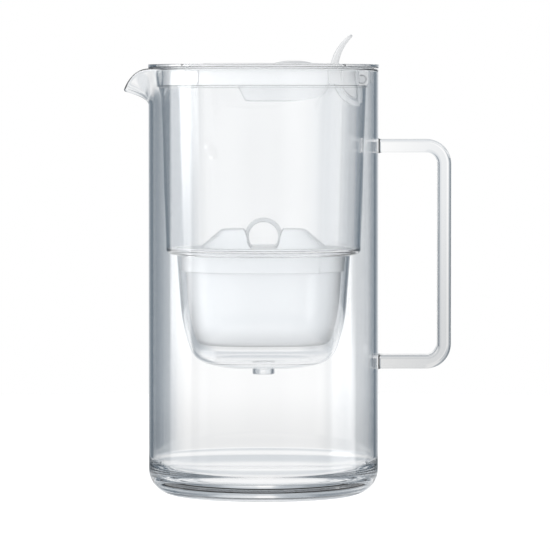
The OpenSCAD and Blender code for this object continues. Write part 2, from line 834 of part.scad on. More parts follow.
module light_guide() {
    color("aliceblue", 0.6) translate([lens_x, 0, 0]) rotate_extrude()
        translate([lens_pocket_r, board_top + led_h + led_gap])
            square([lens_spigot_t, flap_z - board_top - led_h - led_gap]);
}

module circuit_board() {
    color("seagreen") translate([pod_x, 0, 0]) oval_plate(pod_s, board_r, board_z, board_t);
}

module tact_switch() {
    color("dimgray") translate([lens_x, 0, board_top]) {
        translate([-switch_w / 2, -switch_w / 2, 0]) cube([switch_w, switch_w, switch_h]);
        cylinder(d = plunger_d, h = switch_h + plunger_h);
    }
}

module status_leds() {
    ring_r = lens_spigot_r - lens_spigot_t / 2;
    color("ivory") for (s = [-1, 1])
        translate([lens_x - led_l / 2, s * ring_r - led_w / 2, board_top]) cube([led_l, led_w, led_h]);
}

module coin_cell() {
    color("silver") translate([cell_x, 0, cell_z]) {
        cylinder(d = cell_d, h = cell_t - cell_step_h);
        cylinder(d = cell_d - 2 * cell_step_w, h = cell_t);
    }
}

module cell_clip() {
    low = cell_z - clip_t;
    half = cell_d / 2 + cell_gap + clip_t;
    color("goldenrod") difference() {
        translate([cell_x - clip_w / 2, -half, low]) cube([clip_w, 2 * half, board_z - low]);
        translate([cell_x - clip_w, clip_t - half, cell_z]) cube([2 * clip_w, 2 * (half - clip_t), big]);
    }
}

module cartridge_bucket() {
    outer = cup_side(bucket_z, bucket_r, bucket_depth, bucket_arcs, 0);
    inner = cup_side(bucket_z, bucket_r, bucket_depth, bucket_arcs, cartridge_wall);
    inner_top_r = inner[len(inner) - 1][0];
    key_x = well_stretch + bucket_collar_r - key_l;
    color("white", 0.7) difference() {
        union() {
            oval(well_stretch) polygon(concat(
                outer,
                [
                    [bucket_collar_r, bucket_collar_z], [bucket_collar_r, cap_z],
                    [cap_plug_r, cap_z], [cap_plug_r, bucket_collar_z + cartridge_wall],
                    [inner_top_r, bucket_collar_z + cartridge_wall]
                ],
                reverse(inner)
            ));
            for (s = [-1, 1])
                translate([s * foot_x, 0, bucket_z - foot_h])
                    cylinder(d = foot_d, h = foot_h + cartridge_wall / 2);
        }
        // Outlet slots in the floor
        for (i = [-2:2])
            translate([i * outlet_pitch - outlet_w / 2, -outlet_l / 2, bucket_z - eps])
                cube([outlet_w, outlet_l, cartridge_wall + 2 * eps]);
        // Key recess round one end of the collar
        difference() {
            translate([key_x, -big / 2, bucket_collar_z - eps]) cube([big, big, key_h + eps]);
            oval_plate(well_stretch, bucket_collar_r - key_depth, 0, big);
        }
    }
}

// Solid of the cap's two humps before the valley is cut
module hump_solid(inset) {
    out = [sin(hump_slope), cos(hump_slope)];
    top = cap_top + hump_h;
    centre_z = top - hump_round;
    centre_r = hump_r - (hump_round + (centre_z - cap_top) * out[1]) / out[0];
    foot_z = cap_z - eps;
    foot_r = hump_r + (cap_top - foot_z) * out[1] / out[0] - inset / out[0];
    oval(well_stretch) polygon(concat(
        [[0, foot_z], [foot_r, foot_z]],
        arc([centre_r, centre_z], hump_round - inset, 90 - hump_slope, 90, 6),
        [[0, top - inset]]
    ));
}

// Valley between the humps, under the pull ring
module valley(grow) {
    across(big) intersection() {
        union() {
            translate([0, ring_z]) circle(valley_r + grow);
            polygon([
                [-valley_r - grow, ring_z], [valley_r + grow, ring_z],
                [valley_r + valley_flare + grow, cap_top + hump_h + eps],
                [-valley_r - valley_flare - grow, cap_top + hump_h + eps]
            ]);
        }
        translate([-big / 2, cap_top - grow]) square([big, big]);
    }
}

module cartridge_cap() {
    inlet_x = well_stretch + hump_r - inlet_l / 2 - inlet_inset;
    color("white", 0.7) {
        difference() {
            union() {
                oval_plate(well_stretch, cap_flange_r, cap_z, cap_flange_t);
                difference() {
                    hump_solid(0);
                    valley(0);
                }
                // Plug that fits inside the bucket's collar
                oval_plate(well_stretch, cap_plug_r - plug_gap, cap_z - cap_plug_h, cap_plug_h);
            }
            difference() {
                hump_solid(cartridge_wall);
                valley(cartridge_wall);
            }
            oval_plate(well_stretch, cap_plug_r - plug_gap - cartridge_wall, cap_z - cap_plug_h - eps, cap_plug_h + eps);
            for (end = [-1, 1], i = [0:inlet_slots - 1])
                translate([end * inlet_x, (i - (inlet_slots - 1) / 2) * inlet_pitch, cap_top + inlet_rise + hump_h / 2])
                    cube([inlet_l, inlet_w, hump_h], center = true);
        }
        across(ring_t) difference() {
            translate([0, ring_z]) circle(ring_hole_r + ring_band);
            translate([0, ring_z]) circle(ring_hole_r);
            translate([-big / 2, cap_top - big]) square([big, big]);
        }
    }
}

module inlet_screen() {
    color("gainsboro") oval_plate(well_stretch, cap_plug_r - plug_gap, cap_z - cap_plug_h - screen_t, screen_t);
}

module filter_media() {
    gap = cartridge_wall + media_gap;
    floor_h = bucket_z + cartridge_wall + screen_t;
    side = cup_side(bucket_z, bucket_r, bucket_depth, bucket_arcs, gap);
    color("darkgray") intersection() {
        oval(well_stretch) polygon(concat(side, [[0, bucket_collar_z]]));
        translate([-big / 2, -big / 2, floor_h]) cube(big);
    }
}

module outlet_screen() {
    color("gainsboro") oval_plate(well_stretch, screen_r, bucket_z + cartridge_wall, screen_t);
}

jug_glass();
handle();
funnel();
lid_cover();
hinge_pin();
flap_panel();
thumb_lever();
pod_shell();
pod_gasket();
indicator_lens();
reset_button();
light_guide();
circuit_board();
tact_switch();
status_leds();
coin_cell();
cell_clip();
cartridge_bucket();
cartridge_cap();
inlet_screen();
filter_media();
outlet_screen();
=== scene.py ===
import math

import bmesh
import bpy
import numpy as np
from bpy.props import FloatProperty, FloatVectorProperty, PointerProperty
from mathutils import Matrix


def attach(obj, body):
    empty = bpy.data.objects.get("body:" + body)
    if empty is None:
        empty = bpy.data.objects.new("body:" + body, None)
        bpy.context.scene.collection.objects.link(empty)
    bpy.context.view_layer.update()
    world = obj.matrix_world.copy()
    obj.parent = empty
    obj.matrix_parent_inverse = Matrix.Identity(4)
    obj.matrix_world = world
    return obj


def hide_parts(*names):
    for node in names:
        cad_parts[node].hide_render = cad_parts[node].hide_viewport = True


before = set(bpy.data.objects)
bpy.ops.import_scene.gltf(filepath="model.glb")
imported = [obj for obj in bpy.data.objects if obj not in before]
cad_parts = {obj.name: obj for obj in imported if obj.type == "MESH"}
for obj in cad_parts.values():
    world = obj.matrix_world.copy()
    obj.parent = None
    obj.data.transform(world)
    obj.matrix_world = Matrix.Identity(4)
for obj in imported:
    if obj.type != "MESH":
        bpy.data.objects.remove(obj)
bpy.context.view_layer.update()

bl_info = {
    "name": "Water Filter Pitcher",
    "version": (1, 0, 0),
    "blender": (4, 5, 0),
    "location": "3D View > Sidebar > Pitcher",
    "description": "Builds a glass water filter pitcher, its lid, funnel and cartridge, and a studio stage",
    "category": "Add Mesh",
}

MM = 0.001
SHARP_ANGLE = 32.0


def size(name, text, default):
    """A length of the pitcher in millimetres that a user may change."""
    return FloatProperty(name=name, description=text, default=default, min=0.0)


def colour(name, text, default):
    """A linear colour that a user may change."""
    return FloatVectorProperty(
        name=name, description=text, default=default, size=3, min=0.0, max=1.0, subtype="COLOR"
    )


class PitcherSizes(bpy.types.PropertyGroup):
    """Sizes of the pitcher in millimetres"""

    jug_r: size("Glass radius", "Outside radius of the glass", 65.0)
    jug_h: size("Rim height", "Height of the glass rim", 240.8)
    glass_wall: size("Glass wall", "Thickness of the glass wall", 2.2)
    base_t: size("Base", "Thickness of the glass base", 10.8)
    heel_r: size("Heel", "Radius of the rounded heel", 14.7)
    inner_heel_r: size("Inner heel", "Radius between floor and wall inside", 10.6)
    base_kick: size("Push-up", "Rise of the middle of the underside", 0.9)
    spout_reach: size("Spout reach", "How far the lip overhangs the wall", 13.1)
    spout_drop: size("Spout drop", "How far the tip dips below the rim", 11.7)
    spout_h: size("Spout height", "Height of the glass drawn into the lip", 20.5)
    handle_bar: size("Handle bar", "Thickness of the handle's bar", 7.7)
    handle_w: size("Handle width", "Width of the handle's bar", 18.0)
    handle_edge_r: size("Handle edge", "Rounding of the bar's edges", 2.0)
    wall: size("Funnel wall", "Thickness of the funnel's mouldings", 1.5)
    shell: size("Cartridge wall", "Wall of bucket and cap", 1.4)


class PitcherColours(bpy.types.PropertyGroup):
    """Colours of the pitcher, linear"""

    glass: colour("Glass", "Tint of the glass", (0.990, 0.993, 0.995))
    clear: colour("Clear plastic", "Tint of the funnel", (0.981, 0.985, 0.989))
    white: colour("White plastic", "Lid, flap and pod", (0.975, 0.978, 0.98))
    lever: colour("Lever plastic", "Thumb lever, pin and button", (0.91, 0.918, 0.926))
    filter: colour("Filter plastic", "Bucket", (0.92, 0.93, 0.94))
    cap: colour("Cap plastic", "Cap of the cartridge", (0.89, 0.905, 0.915))
    lens: colour("Lens", "Indicator lens", (0.86, 0.87, 0.88))


# Geometry kit: shapes are arrays of points in millimetres


class Shape:
    """Points (n, 3) in millimetres and faces as lists of point numbers."""

    def __init__(self, points, faces):
        self.points = np.asarray(points, float).reshape(-1, 3)
        self.faces = faces

    def __add__(self, other):
        n = len(self.points)
        shifted = [[k + n for k in face] for face in other.faces]
        return Shape(np.vstack([self.points, other.points]), self.faces + shifted)


def joined(shapes):
    """Several shapes as one."""
    return sum(shapes[1:], shapes[0])


def arc(cx, cz, r, start, end, n):
    """Circle r about (cx, cz) from one angle to another in degrees, n steps."""
    a = np.radians(np.linspace(start, end, n + 1))
    return np.stack([cx + r * np.cos(a), cz + r * np.sin(a)], 1)


def circle(cx, cz, r, n):
    """Closed circle of n points."""
    return arc(cx, cz, r, 0.0, 360.0, n)[:-1]


def rounded(corners, radii, closed=True, steps=6, guard=0.25):
    """Polyline whose corners are replaced by tangent arcs of the given radii.

    The arc of radius r at a corner with turn t starts r * tan(t / 2) before it. A guard point before and
    after each arc keeps the shading of the flats flat."""
    pts = np.asarray(corners, float)
    n = len(pts)
    u, v = np.roll(pts, 1, 0) - pts, np.roll(pts, -1, 0) - pts
    lu, lv = np.hypot(*u.T), np.hypot(*v.T)
    u, v = u / lu[:, None], v / lv[:, None]
    half = np.arccos(np.clip(np.sum(u * v, 1), -1, 1)) / 2
    reach = np.minimum(np.broadcast_to(radii, n) / np.tan(half), 0.46 * np.minimum(lu, lv))
    if not closed:
        reach[[0, -1]] = 0.0
    spare_u = np.minimum(guard, 0.4 * (lu - reach - np.roll(reach, 1)))
    spare_v = np.minimum(guard, 0.4 * (lv - reach - np.roll(reach, -1)))
    s = np.linspace(0, 1, steps + 1)[:, None]
    out = []
    for i in range(n):
        if reach[i] < 1e-6:
            out.append(pts[i][None])
            continue
        r, turn = reach[i] * math.tan(half[i]), math.pi - 2 * half[i]
        middle = pts[i] + (u[i] + v[i]) / np.hypot(*(u[i] + v[i])) * r / math.sin(half[i])
        start, end = pts[i] + u[i] * reach[i], pts[i] + v[i] * reach[i]
        ring = middle + (
            np.sin((1 - s) * turn) * (start - middle) + np.sin(s * turn) * (end - middle)) / math.sin(turn)
        out += [(start + u[i] * spare_u[i])[None], ring, (end + v[i] * spare_v[i])[None]]
    return np.vstack(out)


def grid(points, wrap_u=True, wrap_v=True, caps=False):
    """Quads between a grid of points, closed where asked; caps closes the ends of the first direction."""
    nu, nv = points.shape[:2]
    k = np.arange(nu * nv).reshape(nu, nv)
    a, b = (k, np.roll(k, -1, 0)) if wrap_u else (k[:-1], k[1:])
    if wrap_v:
        c, d = np.roll(b, -1, 1), np.roll(a, -1, 1)
    else:
        a, b, c, d = a[:, :-1], b[:, :-1], b[:, 1:], a[:, 1:]
    faces = np.stack([a, b, c, d], -1).reshape(-1, 4).tolist()
    if caps:
        faces += [k[0].tolist(), k[-1].tolist()]
    return Shape(points, faces)


def revolve(profile, x=0.0, closed=True, n=240):
    """A profile (r, z) turned once about the upright line at x: (x + r cos a, r sin a, z)."""
    a = np.linspace(0, 2 * math.pi, n, endpoint=False)[:, None]
    r, z = np.asarray(profile, float).T[:, None]
    return grid(np.stack([x + r * np.cos(a), r * np.sin(a), z + 0 * a], -1), True, closed)


def oval_columns(stretch, n, run):
    """Columns round a long oval: centre offset along X and the angle of the outward normal."""
    right = np.linspace(-90, 90, n + 1)
    left = np.linspace(90, 270, n + 1)
    top = np.linspace(stretch, -stretch, run + 1)[1:-1]
    cx = np.concatenate([np.full(n + 1, stretch), top, np.full(n + 1, -stretch), -top])
    angle = np.concatenate([right, np.full(run - 1, 90.0), left, np.full(run - 1, 270.0)])
    return cx, np.radians(angle)


def oval_points(profile, stretch, x=0.0, **kw):
    """A profile (r, z) carried round a long oval: (x + c + r cos a, r sin a, z) at each column."""
    cx, a = (v[:, None] for v in oval_columns(stretch, **kw))
    r, z = np.asarray(profile, float).T[:, None]
    return np.stack([x + cx + r * np.cos(a), r * np.sin(a), z + 0 * a], -1)


def oval(profile, stretch, x=0.0, closed=True, **kw):
    """Closed shape of a profile carried round a long oval."""
    return grid(oval_points(profile, stretch, x, **kw), True, closed)


def offset(outline, d):
    """Closed outline moved along its own normals by d; counter-clockwise outlines grow with d > 0."""
    ahead = np.roll(outline, -1, 0) - outline
    ahead = ahead / np.maximum(np.hypot(*ahead.T), 1e-9)[:, None]
    behind = np.roll(ahead, 1, 0)
    normal = np.stack([ahead[:, 1] + behind[:, 1], -ahead[:, 0] - behind[:, 0]], 1)
    normal /= np.maximum(np.hypot(*normal.T), 1e-9)[:, None]
    return outline + d * normal


def slab(outline, low, high, edge=0.4, plane="XZ", steps=4):
    """A flat outline given thickness from low to high, with quarter-round edges of radius edge.

    A ring of the lower edge lies edge * (1 - sin a) inside the outline and edge * (1 - cos a) above low;
    at the upper edge sine and cosine change places, below high."""
    x, y = np.asarray(outline, float).T
    if np.sum(x * np.roll(y, -1) - y * np.roll(x, -1)) < 0:
        outline = outline[::-1]
    a = np.linspace(0, math.pi / 2, steps + 1)
    depth = np.concatenate([edge * (1 - np.sin(a)), edge * (1 - np.cos(a))])
    height = np.concatenate([low + edge * (1 - np.cos(a)), high - edge * (1 - np.sin(a))])
    rings = np.stack([offset(outline, -d) for d in depth])
    level = np.broadcast_to(height[:, None], rings.shape[:2])
    if plane == "XZ":
        points = np.stack([rings[..., 0], level, rings[..., 1]], -1)
    else:
        points = np.stack([rings[..., 0], rings[..., 1], level], -1)
    return grid(points, False, True, caps=True)


def box(low, high):
    """Plain block between two corners, used only to cut."""
    (x0, y0, z0), (x1, y1, z1) = low, high
    outline = np.array([[x0, y0], [x1, y0], [x1, y1], [x0, y1]])
    points = np.stack([np.c_[outline, np.full(4, z0)], np.c_[outline, np.full(4, z1)]])
    return grid(points, False, True, caps=True)


def turned(shape, degrees):
    """The shape turned about the Z axis."""
    c, s = math.cos(math.radians(degrees)), math.sin(math.radians(degrees))
    return Shape(shape.points @ np.array([[c, s, 0], [-s, c, 0], [0, 0, 1]]), shape.faces)


def moved(shape, x, y=0.0):
    """The shape moved along X and Y."""
    return Shape(shape.points + [x, y, 0.0], shape.faces)


def add_object(name, data):
    """New object in the scene."""
    obj = bpy.data.objects.new(name, data)
    bpy.context.scene.collection.objects.link(obj)
    return obj


def to_object(name, shape):
    """Mesh object in metres with merged doubles and outward faces."""
    mesh = bpy.data.meshes.new(name)
    mesh.from_pydata((shape.points * MM).tolist(), [], shape.faces)
    work = bmesh.new()
    work.from_mesh(mesh)
    bmesh.ops.remove_doubles(work, verts=work.verts, dist=1e-7)
    bmesh.ops.dissolve_degenerate(work, edges=work.edges, dist=1e-8)
    bmesh.ops.recalc_face_normals(work, faces=work.faces)
    work.to_mesh(mesh)
    work.free()
    return add_object(name, mesh)


def discard(obj):
    """Removes a helper object and its mesh."""
    mesh = obj.data
    bpy.data.objects.remove(obj)
    bpy.data.meshes.remove(mesh)


def to_shape(obj):
    """The shape of a helper object, which is removed."""
    mesh = obj.data
    points = np.empty(3 * len(mesh.vertices), np.float32)
    mesh.vertices.foreach_get("co", points)
    shape = Shape(points.astype(float) / MM, [list(face.vertices) for face in mesh.polygons])
    discard(obj)
    return shape


def combine(obj, shape, operation):
    """Exact boolean of a mesh object with a shape, written back into the object's mesh."""
    tool = to_object("cutter", shape)
    step = obj.modifiers.new("combine", "BOOLEAN")
    step.operation, step.solver, step.object = operation, "EXACT", tool
    bpy.context.view_layer.update()
    done = bpy.data.meshes.new_from_object(obj.evaluated_get(bpy.context.evaluated_depsgraph_get()))
    obj.modifiers.clear()
    old, obj.data = obj.data, done
    bpy.data.meshes.remove(old)
    done.name = obj.name
    discard(tool)
    if len(done.polygons) == 0:
        raise RuntimeError("nothing is left of " + obj.name)


def add_islands(obj, shape):
    """Further closed solids of the same moulding, added to the object's mesh."""
    extra = to_object("extra", shape)
    work = bmesh.new()
    work.from_mesh(obj.data)
    work.from_mesh(extra.data)
    work.to_mesh(obj.data)
    work.free()
    discard(extra)


def cut(obj, shape):
    """Takes a shape away from a mesh object."""
    combine(obj, shape, "DIFFERENCE")


def dress(obj, material):
    """Gives a mesh object its one material."""
    obj.data.materials.clear()
    obj.data.materials.append(material)


def finish_piece(obj, body, nodes, material):
    """Shading, material and the piece's place in the assembly."""
    obj.data.shade_smooth()
    obj.data.set_sharp_from_angle(angle=math.radians(SHARP_ANGLE))
    dress(obj, material)
    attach(obj, body)
    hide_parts(*nodes)


# Shader kit


def both_sides(operation):
    """Methods of an operator for a socket on its left and, reflected, on its right."""
    return (lambda self, other: self.math(operation, self, other),
            lambda self, other: self.math(operation, other, self))


class Socket:
    """A shader socket on which arithmetic adds Math nodes."""

    __add__, __radd__ = both_sides("ADD")
    __sub__, __rsub__ = both_sides("SUBTRACT")
    __mul__, __rmul__ = both_sides("MULTIPLY")
    __truediv__, __rtruediv__ = both_sides("DIVIDE")

    def __init__(self, shader, socket):
        self.shader, self.socket = shader, socket

    def math(self, operation, *values):
        node = self.shader.tree.nodes.new("ShaderNodeMath")
        node.operation = operation
        for slot, value in zip(node.inputs, values):
            self.shader.feed(slot, value)
        return Socket(self.shader, node.outputs[0])

    def __neg__(self):
        return self.math("MULTIPLY", self, -1.0)

    def __abs__(self):
        return self.math("ABSOLUTE", self)


class Shader:
    """Node tree of one material or of the world."""

    def __init__(self, owner):
        owner.use_nodes = True
        self.owner, self.tree = owner, owner.node_tree
        self.tree.nodes.clear()

    def feed(self, slot, value):
        if isinstance(value, Socket):
            self.tree.links.new(value.socket, slot)
        elif hasattr(slot.default_value, "__len__") and hasattr(value, "__len__"):
            value = tuple(value)
            slot.default_value = value + (1.0,) if len(slot.default_value) > len(value) else value
        else:
            slot.default_value = value

    def node(self, kind, settings=None, out=0, **values):
        """Adds a node: settings first, then sockets by name (underscores for spaces) or number (in_0)."""
        node = self.tree.nodes.new(kind)
        for key, value in (settings or {}).items():
            if key == "stops":
                ramp = node.color_ramp.elements
                while len(ramp) < len(value):
                    ramp.new(0.5)
                for stop, (position, shade) in zip(ramp, value):
                    stop.position, stop.color = position, tuple(shade) + (1.0,)
            else:
                setattr(node, key, value)
        for key, value in values.items():
            slot = node.inputs[int(key[3:])] if key.startswith("in_") else node.inputs[key.replace("_", " ")]
            self.feed(slot, value)
        return Socket(self, node.outputs[out]) if len(node.outputs) else None

    def axes(self, vector):
        """The three parts of a vector."""
        parts = self.node("ShaderNodeSeparateXYZ", Vector=vector).socket.node.outputs
        return [Socket(self, part) for part in parts]

    def place(self, scale=(1.0, 1.0, 1.0)):
        """Object coordinates, scaled by a Mapping node."""
        coords = self.node("ShaderNodeTexCoord", out="Object")
        return self.node("ShaderNodeMapping", Vector=coords, Scale=scale)

    def noise(self, scale, detail, where=None):
        return self.node("ShaderNodeTexNoise", Vector=where or self.place(), Scale=scale, Detail=detail)

    def blend(self, factor, a, b):
        """Colour between a and b."""
        return self.node("ShaderNodeMix", {"data_type": "RGBA"}, out=2, in_0=factor, in_6=a, in_7=b)

    def between(self, value, low, high, start=0.0, end=1.0):
        """Value of a range moved to another range, clamped, on a smooth step."""
        return self.node(
            "ShaderNodeMapRange", {"interpolation_type": "SMOOTHSTEP"},
            Value=value, From_Min=low, From_Max=high, To_Min=start, To_Max=end,
        )

    def within(self, value, low, full, fall, high):
        """1 from full to fall, 0 below low and above high."""
        return self.between(value, low, full) * self.between(value, fall, high, 1.0, 0.0)

    def under(self, value, full, high):
        """1 up to full, 0 above high."""
        return self.between(value, full, high, 1.0, 0.0)

    def bump(self, height, strength, distance):
        return self.node("ShaderNodeBump", Height=height, Strength=strength, Distance=distance)

    def surface(self, shader):
        kind = "World" if isinstance(self.owner, bpy.types.World) else "Material"
        self.node("ShaderNodeOutput" + kind, Surface=shader)
        return self.owner

    def principled(self, **values):
        """Ends the tree in a Principled shader."""
        return self.surface(self.node("ShaderNodeBsdfPrincipled", **values))


def new_shader(name):
    return Shader(bpy.data.materials.new(name))


def tint(base, factor):
    """A colour made darker or lighter, up to white."""
    return tuple(min(1.0, c * factor) for c in base)


def grey(level):
    """Neutral grey of a brightness."""
    return (level, level, level)


def deepened(m, tone, base, deeper):
    """The tone, brought to a share of the base colour where a mask is 1, if deeper gives mask and share."""
    if deeper is None:
        return tone
    mask, share = deeper
    return m.blend(mask(m), tone, tint(base, share))


def glass_finish(name, base, ior, wave, wave_size, bar=None, deeper=None):
    """Polished clear body: faint drift of tint, and slow waves of the drawn surface on its normal.

    A bar tint paints shade on what stands out from the wall along X, the handle's glass, deeper low down
    than at the top."""
    m = new_shader(name)
    drift = m.noise(9.0, 1.0)
    waves = m.noise(wave_size, 1.0)
    tone = m.blend(drift, base, tint(base, 0.985))
    if bar:
        x, _, z = m.axes(m.place())
        # painted shade: the handle's glass is darker than the wall, most of all low down, lighter towards
        # the top
        drawn = m.blend(m.between(z, 0.07, 0.2), bar, tint(bar, 1.31))
        tone = m.blend(m.between(x, 0.0655, 0.0662), tone, drawn)
    return m.principled(
        Base_Color=deepened(m, tone, base, deeper),
        Roughness=0.0, IOR=ior, Transmission_Weight=1.0,
        Normal=m.bump(waves, wave, 0.0004),
    )


def moulded_finish(name, base, rough, transmission=0.0, grain=900.0, relief=0.05, rim=0.9,
                   turn=(0.45, 0.95), deeper=None):
    """Moulded plastic: fine spark texture on the normal, uneven gloss, a slow drift of shade, and painted
    shade
    at the edges: a grey-tinted coat dims the body to the factor rim as the surface turns away."""
    m = new_shader(name)
    fine = m.noise(grain, 3.0)
    slow = m.noise(22.0, 2.0)
    # painted edge shade: the coat's weight rises as the surface turns away, and its grey tint rim darkens
    # the body there
    away = m.between(m.node("ShaderNodeLayerWeight", out="Facing", Blend=0.5), *turn)
    tone = m.blend(slow, tint(base, 0.985), tint(base, 1.01))
    return m.principled(
        Base_Color=deepened(m, tone, base, deeper),
        Roughness=rough - 0.05 + 0.1 * slow, IOR=1.49, Transmission_Weight=transmission,
        Coat_Weight=away, Coat_Tint=grey(rim), Coat_IOR=1.3, Coat_Roughness=0.3,
        Normal=m.bump(fine, relief, 0.0001),
    )


# Masks of deeper tone, in millimetres on the piece


def millimetres(m):
    """Object coordinates in millimetres."""
    return m.axes(m.place((1000.0, 1000.0, 1000.0)))


def below(full, high):
    """Mask that is 1 up to one height and 0 above another."""
    return lambda m: m.under(millimetres(m)[2], full, high)


def line_round(r, full_r, height, half, fade):
    """Mask of a line round the Z axis, beyond a radius and near a height."""
    def mask(m):
        x, y, z = millimetres(m)
        far = x.math("SQRT", x * x + y * y)
        return m.between(far, r, full_r) * m.under(abs(z - height), half, fade)

    return mask


def pull_ring(m):
    """Mask of the cap's pull ring: distance from its centre between its two radii, near its plane."""
    x, y, z = millimetres(m)
    far = x.math("SQRT", x * x + (z - RING_Z) * (z - RING_Z))
    return m.within(far, 7.9, 8.2, 10.9, 11.2) * m.under(abs(y), 1.75, 1.95)


def metal_finish(name, base, rough, along):
    """Brushed metal: noise stretched along one axis drives shade and gloss."""
    m = new_shader(name)
    lines = m.noise(1.0, 4.0, m.place(along))
    return m.principled(
        Base_Color=m.blend(lines, tint(base, 0.85), tint(base, 1.1)),
        Roughness=rough + 0.15 * lines, Metallic=1.0, Normal=m.bump(lines, 0.1, 0.0001),
    )


def granule_finish(name, base, grain):
    """Bed of granules: a cell pattern gives each grain its shade and relief."""
    m = new_shader(name)
    cells = m.node("ShaderNodeTexVoronoi", Vector=m.place(), Scale=grain)
    grains = m.node("ShaderNodeTexVoronoi", out="Color", Vector=m.place(), Scale=grain)
    return m.principled(
        Base_Color=m.blend(m.node("ShaderNodeRGBToBW", Color=grains), tint(base, 0.8), tint(base, 1.1)),
        Roughness=0.7, Normal=m.bump(1.0 - cells, 0.6, 0.0006),
    )


def mesh_finish(name, base, pitch):
    """Woven screen: the crossing threads of two wave patterns."""
    m = new_shader(name)
    across, along = (m.node("ShaderNodeTexWave", {"bands_direction": axis}, Vector=m.place(), Scale=pitch)
                     for axis in "XY")
    weave = across.math("MAXIMUM", across, along)
    return m.principled(
        Base_Color=m.blend(weave, tint(base, 0.55), base), Roughness=0.6,
        Normal=m.bump(weave, 0.5, 0.0003),
    )


def board_finish(name, base):
    """Circuit board: solder resist over faint copper tracks."""
    m = new_shader(name)
    tracks = m.node("ShaderNodeTexBrick", out=1, Vector=m.place(), Scale=260.0)
    return m.principled(
        Base_Color=m.blend(tracks, base, tint(base, 1.8)), Roughness=0.4,
        Normal=m.bump(tracks, 0.2, 0.0001),
    )


# Forms shared by pieces, lengths in millimetres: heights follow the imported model
FLANGE_LOW, FLANGE_TOP = 241.1, 243.4
PARTING_Z, LID_SEAM_Z = 241.82, 242.95
FLOOR_LOW, FLOOR_TOP = 136.1, 138.5
COLLAR_LOW = 230.3
SKIRT_LOW = 231.6
TONGUE_ANGLES = (47.2, 132.8, 227.2, -47.2)
WELL_LOW, WELL_R, WELL_DEPTH = 71.5, 41.1, 64.6
STRETCH = 8.0
OVAL_COLUMNS = {"n": 120, "run": 18}
CAP_COLUMNS = {"n": 80, "run": 12}
HINGE = np.array([55.2, 235.0])
HANDLE_TOP, HANDLE_LOW, HANDLE_REACH, HANDLE_BEND = 201.3, 71.5, 41.0, 14.0
WELD_R, WELD_MOST = 1.6, 0.35
LENS_X = 16.8
CAP_TOP, HUMP_TOP, HUMP_FOOT_R, HUMP_R = 139.9, 150.6, 28.3, 6.0
HUMP_LEAN = math.radians(40.0)
RING_Z = 146.0
SPOUT_HALF_ANGLE = 28.0
WELL_ARCS = ((60.0, 0.0, 18.0), (13.4, 18.0, 70.0), (99.0, 70.0, 86.0))
BUCKET_ARCS = ((5.5, 0.0, 72.0), (100.0, 72.0, 86.0))
POD_ARCS = ((2.6, 0.0, 63.0),)


def cup_side(z, r, h, arcs, inset, steps=10):
    """Side of a moulded cup from the edge of its flat bottom up: tangent arcs, then a drafted line.

    Each arc is (radius, start, end) of the outward normal's angle from straight down; a point is
    centre + (radius - inset) * (sin angle, -cos angle)."""
    radius, start, end = np.array(arcs).T
    start, end = np.radians(start), np.radians(end)
    run = radius * (np.sin(end) - np.sin(start))
    rise = radius * (np.cos(start) - np.cos(end))
    foot = np.array([r - run.sum() - (h - rise.sum()) / math.tan(end[-1]), z])
    out = []
    for k in range(len(arcs)):
        centre = foot - radius[k] * np.array([math.sin(start[k]), -math.cos(start[k])])
        a = np.linspace(start[k], end[k], steps + 1)[min(k, 1):]
        out.append(centre + (radius[k] - inset) * np.stack([np.sin(a), -np.cos(a)], 1))
        foot = foot + np.array([run[k], rise[k]])
    out.append([[r - inset / math.sin(end[-1]), z + h]])
    return np.vstack(out)


def spout_share(a):
    """1 at the middle of the lip, 0 from its half angle outwards: cos squared of the angle."""
    share = np.cos(np.radians(90.0 * a / SPOUT_HALF_ANGLE)) ** 2
    return np.where(np.abs(a) < SPOUT_HALF_ANGLE, share, 0.0)


